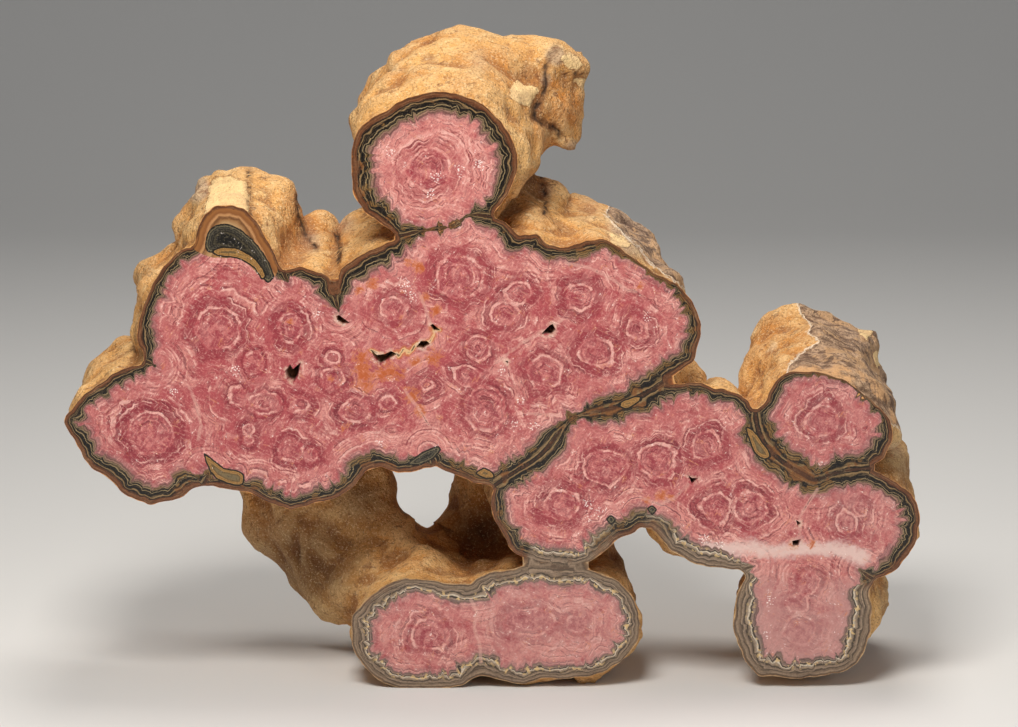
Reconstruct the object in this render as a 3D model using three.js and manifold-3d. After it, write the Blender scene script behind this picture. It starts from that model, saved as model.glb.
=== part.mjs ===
// A cluster of rhodochrosite stalactites, grown together in a vein and sawn across.
// The sawn face is flat and upright and looks along -Y. The stalactites run back from it, each with its own
// lean and swell, to rounded tips. The lowest of them are ground flat underneath, so that the cluster stands.
// Units are millimetres, +Z is up, and the origin is under the middle, on the surface the cluster stands on.
import * as THREE from "three";
import { mergeVertices } from "three/addons/utils/BufferGeometryUtils.js";
import Module from "manifold-3d";

// Overall places. X is measured in the tables from the middle of the sawn face, and Y from the face itself.
const MIDDLE_X = -4.7;
const MIDDLE_Y = 44.5;
const SAW_SPARE = 6;
const CUTTER = 600;

// How finely a stalactite is drawn, with its rings closer together towards the tip, and the share of its
// length over which it rounds off. Its swell and its lean are spread over the stations along it.
const SIDES = 18;
const RINGS = 7;
const RING_CROWDING = 1.15;
const TIP_SHARE = 0.3;
const STATIONS = [0.35, 0.7, 1];

// A run steeper than this has its sides measured along X.
const LEVEL_ENOUGH = 0.05;

// The knobbly relief of the skin, as a few crossed waves: height, then wavelength along X, Y and Z.
const RELIEF = [
  { height: 0.9, x: 31, y: 23, z: 37, phase: 0.4 },
  { height: 0.8, x: -19, y: 27, z: 17, phase: 2.1 },
  { height: 0.6, x: 13, y: -15, z: 21, phase: 4.0 },
];

// One row per stalactite: where its axis meets the sawn face, its half width and half height there, where
// the axis is at its back end, its half width and half height near that end, and how deep it reaches. A spur
// is a corner that stands out of the round section: its direction in degrees, its share of the radius and its
// spread.
const STALACTITES = [
  // The large group on the left and in the middle.
  { at: [-123, 88.5], half: [21.5, 22.5], back: [-130, 90], end: [20, 22], depth: 74, spur: [161, 0.19, 16] },
  { at: [-98.5, 121.5], half: [25, 27], back: [-104, 118], end: [27, 29], depth: 82 },
  { at: [-90.5, 147.5], half: [14, 16], back: [-92.5, 155.5], end: [21.5, 20], depth: 62 },
  { at: [-69.5, 122.5], half: [14.5, 20], back: [-69, 133], end: [16, 24], depth: 78 },
  { at: [-40, 131], half: [19.5, 20.5], back: [-42, 138], end: [20, 23], depth: 84 },
  { at: [-17, 138], half: [21.5, 22], back: [-18, 141], end: [22, 23], depth: 76 },
  { at: [7, 134], half: [20.5, 20], back: [6, 151], end: [16, 22], depth: 80 },
  { at: [27, 131.5], half: [23, 21.5], back: [26.5, 141], end: [20, 21], depth: 88 },
  { at: [42.5, 123], half: [21, 17.5], back: [43, 132], end: [15, 21], depth: 72 },
  { at: [28.5, 115.5], half: [25, 16], back: [30, 116], end: [24, 20], depth: 84 },
  { at: [12, 108], half: [20, 17], back: [12, 104], end: [22, 18], depth: 89 },
  { at: [-8.5, 92.5], half: [19.5, 20.5], back: [-8, 94], end: [20, 20], depth: 80 },
  { at: [-41.5, 96], half: [20, 19.5], back: [-40, 97], end: [21, 19], depth: 86 },
  { at: [-71.5, 84], half: [23, 22], back: [-74, 86], end: [24, 23], depth: 78 },
  { at: [-95, 92.5], half: [20, 24], back: [-98, 90], end: [22, 22], depth: 84 },
  { at: [-59.5, 109.5], half: [27, 27], back: [-58, 112], end: [27, 27], depth: 89 },
  { at: [-20, 112], half: [17, 15], back: [-18, 114], end: [20, 18], depth: 84 },
  // The single stalactite on top.
  { at: [-24.5, 178], half: [27.5, 24.5], back: [-14, 194], end: [32.5, 31], depth: 78 },
  // The group on the right.
  { at: [18, 63.5], half: [23.5, 20.5], back: [16, 66], end: [25, 22], depth: 78 },
  { at: [33, 75.5], half: [23.5, 20.5], back: [33, 76], end: [24, 20], depth: 86 },
  { at: [52, 82], half: [22, 21.5], back: [50, 72], end: [22, 20], depth: 66 },
  { at: [68, 82], half: [17, 20.5], back: [70, 72], end: [19, 20], depth: 60 },
  { at: [69, 60], half: [24, 18.5], back: [70, 62], end: [25, 20], depth: 76 },
  { at: [105.5, 89], half: [22, 19.5], back: [106, 102], end: [24.5, 23], depth: 80, spur: [-8, 0.08, 20] },
  { at: [115.5, 57.5], half: [23, 18], back: [120, 54], end: [22, 27], depth: 78 },
  { at: [91, 55], half: [20, 15], back: [94, 52], end: [20, 18], depth: 72 },
  { at: [99.5, 27], half: [23, 23], back: [112, 23], end: [24, 25.5], depth: 82 },
  // What fills the clefts where the groups meet.
  { at: [27, 98], half: [21, 7.5], back: [26, 94], end: [20, 12], depth: 62 },
  { at: [9, 86], half: [9, 8], back: [10, 86], end: [13, 12], depth: 58 },
  { at: [92, 74], half: [11, 9], back: [92, 76], end: [14, 12], depth: 66 },
  // The low pair in front, which carries the cluster with the lowest one on the right.
  { at: [-31, 18.5], half: [22.5, 19.5], back: [-33, 21], end: [22, 22.5], depth: 80 },
  { at: [-11.5, 20], half: [13.5, 15.5], back: [-12, 18], end: [14, 16], depth: 68 },
  { at: [7, 20.5], half: [20.5, 21], back: [8, 18], end: [21, 20], depth: 76 },
  { at: [25.5, 21], half: [18.5, 19], back: [25, 18], end: [19, 20], depth: 70 },
];

// Limbs that leave the straight run: the trunk from the low pair up to the left, the two behind the low pair
// up to the right-hand group, the stub of a tip under the middle, and the broken branch of the top one.
const LIMBS = [
  {
    path: [[-40, 36, 24], [-56, 50, 36], [-68, 58, 56], [-74, 62, 84]],
    wide: [15, 17, 19, 18],
    tall: [18, 26, 32, 30],
  },
  { path: [[-12, 62, 22], [-6, 62, 44], [2, 60, 74]], wide: [15, 15, 18], tall: [16, 17, 18] },
  { path: [[14, 52, 24], [20, 56, 46], [24, 56, 70]], wide: [20, 22, 22], tall: [16, 17, 18] },
  { path: [[50, 30, 98], [58, 44, 98], [60, 62, 97]], wide: [6, 7.5, 7], tall: [6, 7, 7] },
  { path: [[-12, 56, 194], [10, 50, 198], [38, 44, 195]], wide: [17, 18, 18], tall: [18, 19, 19] },
];

// Small hollows in the sawn face, between growths that never quite met: place, half width and half height,
// turn in degrees, anticlockwise as seen from the front, and depth.
const VUGS = [
  { at: [-72.5, 108.5], half: [2.3, 3.4], turn: 20, depth: 9 },
  { at: [-56, 126.5], half: [2.2, 1.6], turn: -35, depth: 6 },
  { at: [-42.5, 113.5], half: [4.6, 2.4], turn: 8, depth: 10 },
  { at: [-29.5, 118], half: [3, 1.9], turn: 24, depth: 8 },
  { at: [-25.5, 123], half: [1.8, 1.4], turn: 0, depth: 6 },
  { at: [13.5, 122.5], half: [3.2, 1.8], turn: 28, depth: 7 },
  { at: [61.5, 71.5], half: [1.6, 1.5], turn: 40, depth: 5 },
  { at: [98, 50.5], half: [2, 1.3], turn: 10, depth: 5 },
];
const VUG_SIDES = 6;
const VUG_BOTTOM_SHARE = 0.35;
const VUG_SPARE = 1;

// The chipped end of the broken branch: planes that take slabs off it, each a point and the way it faces.
const BREAKS = [
  { point: [18, 38, 196], facing: [0.78, -0.62, -0.08] },
  { point: [26, 50, 196], facing: [1, 0.1, -0.05] },
  { point: [22, 46, 211], facing: [0.65, -0.2, 0.75] },
  { point: [14, 34, 186], facing: [0.3, -0.8, -0.55] },
];

const wasm = await Module();
wasm.setup();

// A closed geometry as a solid that can be joined and cut.
function solidOf(geometry) {
  const bare = geometry.index ? geometry.toNonIndexed() : geometry.clone();
  bare.deleteAttribute("normal");
  bare.deleteAttribute("uv");
  const merged = mergeVertices(bare, 1e-3);
  const corners = merged.index.array;
  const kept = [];
  for (let i = 0; i < corners.length; i += 3) {
    const [a, b, c] = corners.slice(i, i + 3);
    if (a !== b && b !== c && c !== a) kept.push(a, b, c);
  }
  return new wasm.Manifold(
    new wasm.Mesh({
      numProp: 3,
      vertProperties: merged.attributes.position.array,
      triVerts: new Uint32Array(kept),
    }),
  );
}

// A solid back as a geometry.
function geometryOf(solid) {
  const mesh = solid.getMesh();
  return new THREE.BufferGeometry()
    .setAttribute("position", new THREE.BufferAttribute(mesh.vertProperties, 3))
    .setIndex(new THREE.BufferAttribute(mesh.triVerts, 1));
}

// How far the skin stands proud of its smooth form at a point.
function relief(x, y, z) {
  return RELIEF.reduce((sum, wave) => {
    const turns = x / wave.x + y / wave.y + z / wave.z;
    return sum + wave.height * Math.sin(2 * Math.PI * turns + wave.phase);
  }, 0);
}

// A value that runs smoothly through a list of values as share goes from 0 to 1.
function along(values, share) {
  const place = share * (values.length - 1);
  const first = Math.min(Math.floor(place), values.length - 2);
  const part = place - first;
  return values[first] + (values[first + 1] - values[first]) * part * part * (3 - 2 * part);
}

// How much of its full radius a limb has at a share of its length: all of it, then a rounded tip.
function roundness(share) {
  const into = Math.max(0, (share - (1 - TIP_SHARE)) / TIP_SHARE);
  return Math.sqrt(Math.max(0, 1 - into * into));
}

// A round body of changing width and height along a path, drawn as a lathed unit profile bent along it.
function limb({ path, wide, tall, spur }) {
  const profile = [new THREE.Vector2(0, 0)];
  for (let i = 0; i < RINGS; i++) {
    const share = Math.sin(((i / RINGS) * Math.PI) / 2) ** RING_CROWDING;
    profile.push(new THREE.Vector2(roundness(share), share));
  }
  profile.push(new THREE.Vector2(0, 1));
  const geometry = new THREE.LatheGeometry(profile, SIDES);
  const line = new THREE.CatmullRomCurve3(path.map((p) => new THREE.Vector3(...p)));
  const up = new THREE.Vector3(0, 0, 1);
  const spot = new THREE.Vector3();
  const places = geometry.attributes.position;
  for (let i = 0; i < places.count; i++) {
    const share = places.getY(i);
    const round = Math.hypot(places.getX(i), places.getZ(i));
    const angle = Math.atan2(places.getZ(i), places.getX(i));
    const ahead = line.getTangentAt(Math.min(share, 1));
    const side = new THREE.Vector3().crossVectors(ahead, up);
    const level = side.length();
    side.normalize();
    if (level < LEVEL_ENOUGH) side.set(1, 0, 0);
    const rise = new THREE.Vector3().crossVectors(side, ahead);
    const corner = spur ? 1 + spur[1] * Math.exp(-((degreesApart(angle, spur[0]) / spur[2]) ** 2)) : 1;
    spot.copy(line.getPointAt(Math.min(share, 1)));
    const across = side
      .multiplyScalar(Math.cos(angle) * along(wide, share) * corner)
      .addScaledVector(rise, Math.sin(angle) * along(tall, share) * corner);
    const reach = across.length();
    const rough = relief(spot.x + across.x, spot.y + across.y, spot.z + across.z);
    spot.addScaledVector(across, (round * (reach + rough)) / reach);
    places.setXYZ(i, spot.x, spot.y, spot.z);
  }
  return geometry;
}

function degreesApart(radians, degrees) {
  const gap = THREE.MathUtils.radToDeg(radians) - degrees;
  return ((((gap + 180) % 360) + 360) % 360) - 180;
}

// A stalactite runs from just in front of the saw cut straight back, with its lean and its swell.
function stalactite({ at, half, back, end, depth, spur }) {
  const front = [at[0], -SAW_SPARE, at[1]];
  const further = STATIONS.map((share) => [
    at[0] + (back[0] - at[0]) * share,
    depth * share,
    at[1] + (back[1] - at[1]) * share,
  ]);
  return limb({
    path: [front, ...further],
    wide: [half[0], (half[0] + end[0]) / 2, end[0], end[0]],
    tall: [half[1], (half[1] + end[1]) / 2, end[1], end[1]],
    spur,
  });
}

// A many-sided hollow that narrows as it goes in.
function vug({ at, half, turn, depth }) {
  return new THREE.CylinderGeometry(VUG_BOTTOM_SHARE, 1, depth + VUG_SPARE, VUG_SIDES)
    .scale(half[0], 1, half[1])
    .rotateY(THREE.MathUtils.degToRad(-turn))
    .translate(at[0], (depth - VUG_SPARE) / 2, at[1]);
}

// A large block whose one face passes through a point and faces a given way, lying outside it.
function blockBeyond(point, facing) {
  const turn = new THREE.Quaternion().setFromUnitVectors(
    new THREE.Vector3(0, 0, 1),
    new THREE.Vector3(...facing).normalize(),
  );
  return new THREE.BoxGeometry(CUTTER, CUTTER, CUTTER)
    .translate(0, 0, CUTTER / 2)
    .applyQuaternion(turn)
    .translate(...point);
}

// The broken branch is chipped before it is joined, so that the planes touch nothing else.
function brokenBranch(spec) {
  return BREAKS.reduce(
    (solid, { point, facing }) => solid.subtract(solidOf(blockBeyond(point, facing))),
    solidOf(limb(spec)),
  );
}

const plainLimbs = LIMBS.slice(0, -1).map(limb);
let cluster = [...STALACTITES.map(stalactite), ...plainLimbs]
  .map(solidOf)
  .reduce((joined, next) => joined.add(next))
  .add(brokenBranch(LIMBS.at(-1)));

// The saw cut in front, the ground underside, and the hollows.
cluster = cluster
  .subtract(solidOf(blockBeyond([0, 0, 0], [0, -1, 0])))
  .subtract(solidOf(blockBeyond([0, 0, 0], [0, 0, -1])));
for (const hollow of VUGS) cluster = cluster.subtract(solidOf(vug(hollow)));

// Between the stalactites some pockets are sealed in; the outside is the largest shell, and it is solid.
const shells = cluster.decompose();
cluster = shells.reduce((largest, next) => (next.volume() > largest.volume() ? next : largest));

const stone = new THREE.Mesh(
  geometryOf(cluster).translate(-MIDDLE_X, -MIDDLE_Y, 0),
  new THREE.MeshStandardMaterial({ color: "#c98a86", roughness: 0.45, metalness: 0 }),
);
stone.name = "stalactite_cluster";

const rhodochrosite = new THREE.Group();
rhodochrosite.add(stone);
export default rhodochrosite;
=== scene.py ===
# %% [markdown]
# # A sawn cluster of rhodochrosite stalactites
# Rhodochrosite grows as stalactites that fuse into clusters. Sawn across and polished, each shows pink
# rings inside dark zigzag bands, while the outside keeps a dull tan crust. This lesson dresses a plain
# solid of such a cluster: the solid is loaded first as a fixed frame, and everything is measured from
# it, in metres.

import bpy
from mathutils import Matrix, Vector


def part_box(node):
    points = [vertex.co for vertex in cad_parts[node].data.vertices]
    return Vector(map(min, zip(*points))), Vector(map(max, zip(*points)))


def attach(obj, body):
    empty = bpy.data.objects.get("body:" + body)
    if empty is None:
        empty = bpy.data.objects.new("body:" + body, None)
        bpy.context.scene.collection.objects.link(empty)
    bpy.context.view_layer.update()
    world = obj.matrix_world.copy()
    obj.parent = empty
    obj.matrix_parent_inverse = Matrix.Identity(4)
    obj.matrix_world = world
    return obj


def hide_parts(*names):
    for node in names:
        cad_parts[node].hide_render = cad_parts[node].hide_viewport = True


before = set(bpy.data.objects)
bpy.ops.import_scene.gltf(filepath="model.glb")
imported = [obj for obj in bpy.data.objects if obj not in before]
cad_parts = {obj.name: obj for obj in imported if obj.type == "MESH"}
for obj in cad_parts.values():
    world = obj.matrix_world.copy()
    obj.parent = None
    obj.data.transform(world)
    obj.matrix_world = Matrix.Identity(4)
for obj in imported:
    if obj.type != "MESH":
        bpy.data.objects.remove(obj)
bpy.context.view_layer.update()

# %% Tools and units
import math

import bmesh
import bpy
import numpy as np
from mathutils import Vector
from mathutils.geometry import delaunay_2d_cdt
from mathutils.kdtree import KDTree

MM = 0.001
CLUSTER = "stalactite_cluster"
FACE_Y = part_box(CLUSTER)[0].y
print("the sawn face lies at y =", round(FACE_Y / MM, 2), "mm")

# %% [markdown]
# ## The camera
# The cluster is seen almost square on, from a little above, through a long lens. The camera comes first
# because the plan of the sawn face is drawn in the picture's own steps, and a sight line turns each
# step into a real place on the face. With this lens and distance one step is a third of a millimetre.

# %% The camera
PICTURE_WIDE = 1018
PICTURE_TALL = 727
LENS_MM = 120
SENSOR_MM = 36
CAMERA_RISE = math.radians(10)
CAMERA_AWAY = 1131 * MM
AIM = Vector((4.7 * MM, FACE_Y, 111.7 * MM))

camera = bpy.data.objects.new("camera", bpy.data.cameras.new("camera"))
bpy.context.scene.collection.objects.link(camera)
bpy.context.scene.camera = camera
camera.data.lens = LENS_MM
camera.data.sensor_width = SENSOR_MM
toward_camera = Vector((0, -math.cos(CAMERA_RISE), math.sin(CAMERA_RISE)))
camera.location = AIM + CAMERA_AWAY * toward_camera
camera.rotation_euler = (-toward_camera).to_track_quat("-Z", "Y").to_euler()


def seen(across, down, depth=0.0):
    """Where the sight line through a step of the picture meets the plane that deep behind the face."""
    steps = LENS_MM / SENSOR_MM * PICTURE_WIDE
    right = (np.asarray(across, float) - PICTURE_WIDE / 2) / steps
    up = (PICTURE_TALL / 2 - np.asarray(down, float)) / steps
    level, rise = math.cos(CAMERA_RISE), math.sin(CAMERA_RISE)
    run = (CAMERA_AWAY * level + depth) / (level + up * rise)
    return AIM.x + run * right, AIM.z + CAMERA_AWAY * rise + run * (up * level - rise)


step_mm = (seen(510, 364)[0] - seen(509, 364)[0]) / MM
print("one step of the picture is", round(step_mm, 3), "mm on the face")

# %% [markdown]
# ## The plan of the sawn face
# A few hundred points are enough for the outline, because a smooth curve through them gives
# the round lobes, and a point on each side of a notch keeps it tight. The main piece and the low pair
# are two closed curves. Where two groups grew against each other a seam runs through the face: an open
# curve.

# %% Outlines and seams, in steps of the picture
MAIN_OUTLINE = [
    (64, 421), (72, 409), (86, 394), (103, 381), (121, 370), (131, 367), (143, 364), (143, 355),
    (138, 339), (138, 325), (145, 302), (154, 282), (163, 268), (179, 251), (191, 247), (196, 238),
    (201, 222), (212, 208), (225, 205), (244, 209), (260, 227), (271, 247), (280, 266), (284, 271),
    (288, 270), (301, 267), (317, 272), (330, 279), (334, 293), (337, 281), (340, 270), (352, 260),
    (372, 249), (392, 241), (396, 236), (384, 226), (367, 214), (355, 197), (351, 175), (351, 156),
    (354, 139), (363, 124), (384, 112), (401, 101), (420, 94), (444, 92), (465, 97), (485, 105),
    (501, 122), (512, 138), (517, 156), (516, 175), (510, 190), (499, 207), (493, 217), (504, 221),
    (519, 234), (537, 235), (549, 245), (571, 246), (586, 241), (604, 240), (628, 254), (653, 272),
    (678, 285), (692, 301), (701, 324), (698, 347), (692, 362), (678, 373), (664, 382), (676, 384),
    (691, 383), (701, 383), (714, 388), (725, 389), (737, 394), (748, 401), (755, 410), (765, 401),
    (772, 387), (781, 376), (798, 371), (825, 374), (845, 381), (861, 392), (877, 405), (890, 421),
    (893, 437), (884, 457), (872, 468), (887, 476), (901, 486), (911, 494), (918, 506), (920, 522),
    (915, 544), (903, 562), (892, 573), (875, 580), (870, 592), (872, 610), (870, 633), (866, 648),
    (856, 664), (840, 672), (819, 676), (798, 678), (777, 677), (759, 675), (746, 661), (738, 643),
    (733, 625), (736, 604), (738, 590), (746, 578), (741, 571), (728, 568), (711, 567), (694, 563),
    (676, 554), (664, 543), (654, 531), (641, 527), (634, 533), (620, 538), (607, 549), (593, 560),
    (578, 565), (561, 567), (538, 563), (521, 557), (510, 549), (503, 534), (494, 518), (490, 503),
    (494, 487), (477, 483), (459, 476), (440, 469), (434, 466), (417, 471), (397, 472), (380, 467),
    (366, 471), (361, 478), (349, 491), (331, 500), (308, 505), (290, 509), (267, 502), (248, 493),
    (221, 488), (203, 485), (190, 491), (179, 499), (161, 502), (150, 504), (136, 500), (121, 491),
    (107, 477), (92, 469), (83, 456), (74, 440),
]
LOW_OUTLINE = [
    (351, 628), (353, 646), (365, 668), (385, 684), (411, 690), (440, 690), (463, 685), (479, 676),
    (487, 676), (503, 681), (523, 684), (543, 679), (574, 678), (595, 675), (620, 662), (635, 645),
    (640, 625), (635, 602), (623, 585), (600, 573), (572, 567), (534, 565), (514, 568), (483, 575),
    (470, 584), (454, 584), (425, 580), (405, 579), (382, 587), (365, 602), (353, 616),
]
SEAMS = [
    [(664, 382), (650, 391), (632, 401), (612, 408), (590, 413), (573, 418), (560, 431), (549, 446),
     (537, 458), (520, 469), (505, 478), (494, 486)],
    [(396, 237), (408, 234), (420, 231), (433, 229), (447, 227), (458, 223), (467, 216), (478, 215),
     (493, 217)],
    [(755, 410), (757, 425), (762, 440), (772, 453), (786, 464), (801, 473), (815, 480), (832, 474),
     (850, 470), (872, 468)],
    [(334, 293), (336, 301), (339, 312)],
    [(284, 271), (285, 276), (288, 282)],
    [(143, 361), (148, 362), (155, 366)],
    [(875, 580), (868, 576), (860, 570)],
    [(741, 571), (747, 568), (755, 566)],
    [(203, 485), (206, 481), (208, 474)],
    [(434, 466), (433, 460), (429, 453)],
    [(523, 565), (545, 566), (563, 568), (585, 567)],
]
CURVE_PULL = 0.36
CURVE_STEP = 0.4 * MM
SCALLOP = 0.17 * MM


def on_face(steps):
    """Steps of the picture as places on the face: x and z, in metres."""
    return np.stack(seen(*np.array(steps, float).T), axis=1)


def flowing(steps, closed, spacing=CURVE_STEP):
    """A smooth curve through given steps, as evenly spaced places on the face."""
    knots = on_face(steps)
    if closed:
        before, after = np.roll(knots, 1, axis=0), np.roll(knots, -1, axis=0)
        starts, ends = knots, after
    else:
        before, after = np.vstack([knots[:1], knots[:-1]]), np.vstack([knots[1:], knots[-1:]])
        starts, ends = knots[:-1], knots[1:]
    lean = CURVE_PULL * (after - before)
    lean_in = lean[: len(starts)]
    lean_out = np.roll(lean, -1, axis=0)[: len(starts)]
    t = np.linspace(0, 1, 40, endpoint=False)[None, :, None]
    curve = (
        (2 * t**3 - 3 * t**2 + 1) * starts[:, None]
        + (t**3 - 2 * t**2 + t) * lean_in[:, None]
        + (3 * t**2 - 2 * t**3) * ends[:, None]
        + (t**3 - t**2) * lean_out[:, None]
    ).reshape(-1, 2)
    curve = np.vstack([curve, curve[:1] if closed else knots[-1:]])
    run = np.concatenate([[0], np.cumsum(np.hypot(*np.diff(curve, axis=0).T))])
    count = round(run[-1] / spacing)
    even = np.linspace(0, run[-1], count, endpoint=not closed)
    return np.stack([np.interp(even, run, curve[:, 0]), np.interp(even, run, curve[:, 1])], axis=1)


def scalloped(steps, spacing=CURVE_STEP):
    """A closed outline with the small uneven scallops of a grown rim, kept above the ground."""
    curve = flowing(steps, True, spacing)
    before, after = np.roll(curve, -3, axis=0), np.roll(curve, 3, axis=0)
    aside = np.stack([(before - after)[:, 1], (after - before)[:, 0]], axis=1)
    aside /= np.maximum(np.linalg.norm(aside, axis=1, keepdims=True), 1e-9)
    dice = np.random.default_rng(5)
    ways = dice.normal(size=(40, 2))
    ways *= math.tau / (dice.uniform(3.5, 12, 40) * MM * np.linalg.norm(ways, axis=1))[:, None]
    wave = np.sin(curve @ ways.T + dice.uniform(0, math.tau, 40)).sum(axis=1) / math.sqrt(20)
    curve = curve + (SCALLOP * np.clip(wave, -1.6, 1.6))[:, None] * aside
    return np.maximum(curve, (-1, 0))


outlines = [scalloped(MAIN_OUTLINE), scalloped(LOW_OUTLINE)]
print("outline points", [len(curve) for curve in outlines], "and", len(SEAMS), "seams")

# %% [markdown]
# ## What grows in the face
# Each growth began as a thin spine of stone, which shows as a small core with a pale ring round it and
# a band of deeper pink outside that. A growth is given by where it is, its half width and half
# height out to the pale ring, and how far its deep band reaches beyond the ring, all in steps of the
# picture.

# %% Growths: across, down, half width, half height, reach of the deep band
GROWTHS = [
    (151, 433, 22, 21, 15), (218, 328, 22, 21, 14), (290, 328, 11, 15, 13), (254, 364, 10, 10, 6),
    (239, 399, 7, 8, 6), (265, 403, 17, 11, 7), (302, 404, 7, 6, 9), (249, 430, 5, 5, 9),
    (248, 440, 5, 5, 9), (290, 450, 12, 9, 9), (311, 456, 6, 6, 10), (333, 357, 7, 7, 6),
    (332, 379, 11, 11, 8), (356, 410, 14, 12, 10), (388, 403, 7, 7, 7), (391, 308, 11, 11, 10),
    (459, 278, 22, 21, 13), (518, 293, 12, 11, 10), (505, 314, 15, 11, 10), (581, 297, 13, 12, 13),
    (636, 329, 10, 10, 13), (596, 352, 17, 13, 11), (545, 372, 17, 17, 10), (478, 348, 12, 12, 8),
    (466, 375, 11, 10, 8), (426, 384, 6, 5, 13), (485, 409, 20, 22, 9), (430, 169, 20, 21, 12),
    (562, 505, 17, 14, 14), (605, 467, 22, 17, 10), (656, 460, 17, 17, 10), (706, 446, 14, 14, 12),
    (717, 507, 14, 14, 10), (750, 508, 16, 15, 9), (822, 421, 16, 15, 10), (847, 523, 11, 10, 10),
    (861, 510, 6, 6, 8), (808, 584, 10, 10, 8), (798, 603, 11, 10, 7), (800, 630, 15, 15, 9),
    (430, 634, 18, 15, 9), (530, 622, 25, 13, 12), (577, 624, 10, 9, 6),
]
print(len(GROWTHS), "growths")

# %% [markdown]
# The dark banded rim isn't equally thick all round, and it changes from brown and black at the top to
# grey and white at the foot. A short list of places says how, and every other place takes a mean of the
# nearest ones.

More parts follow.
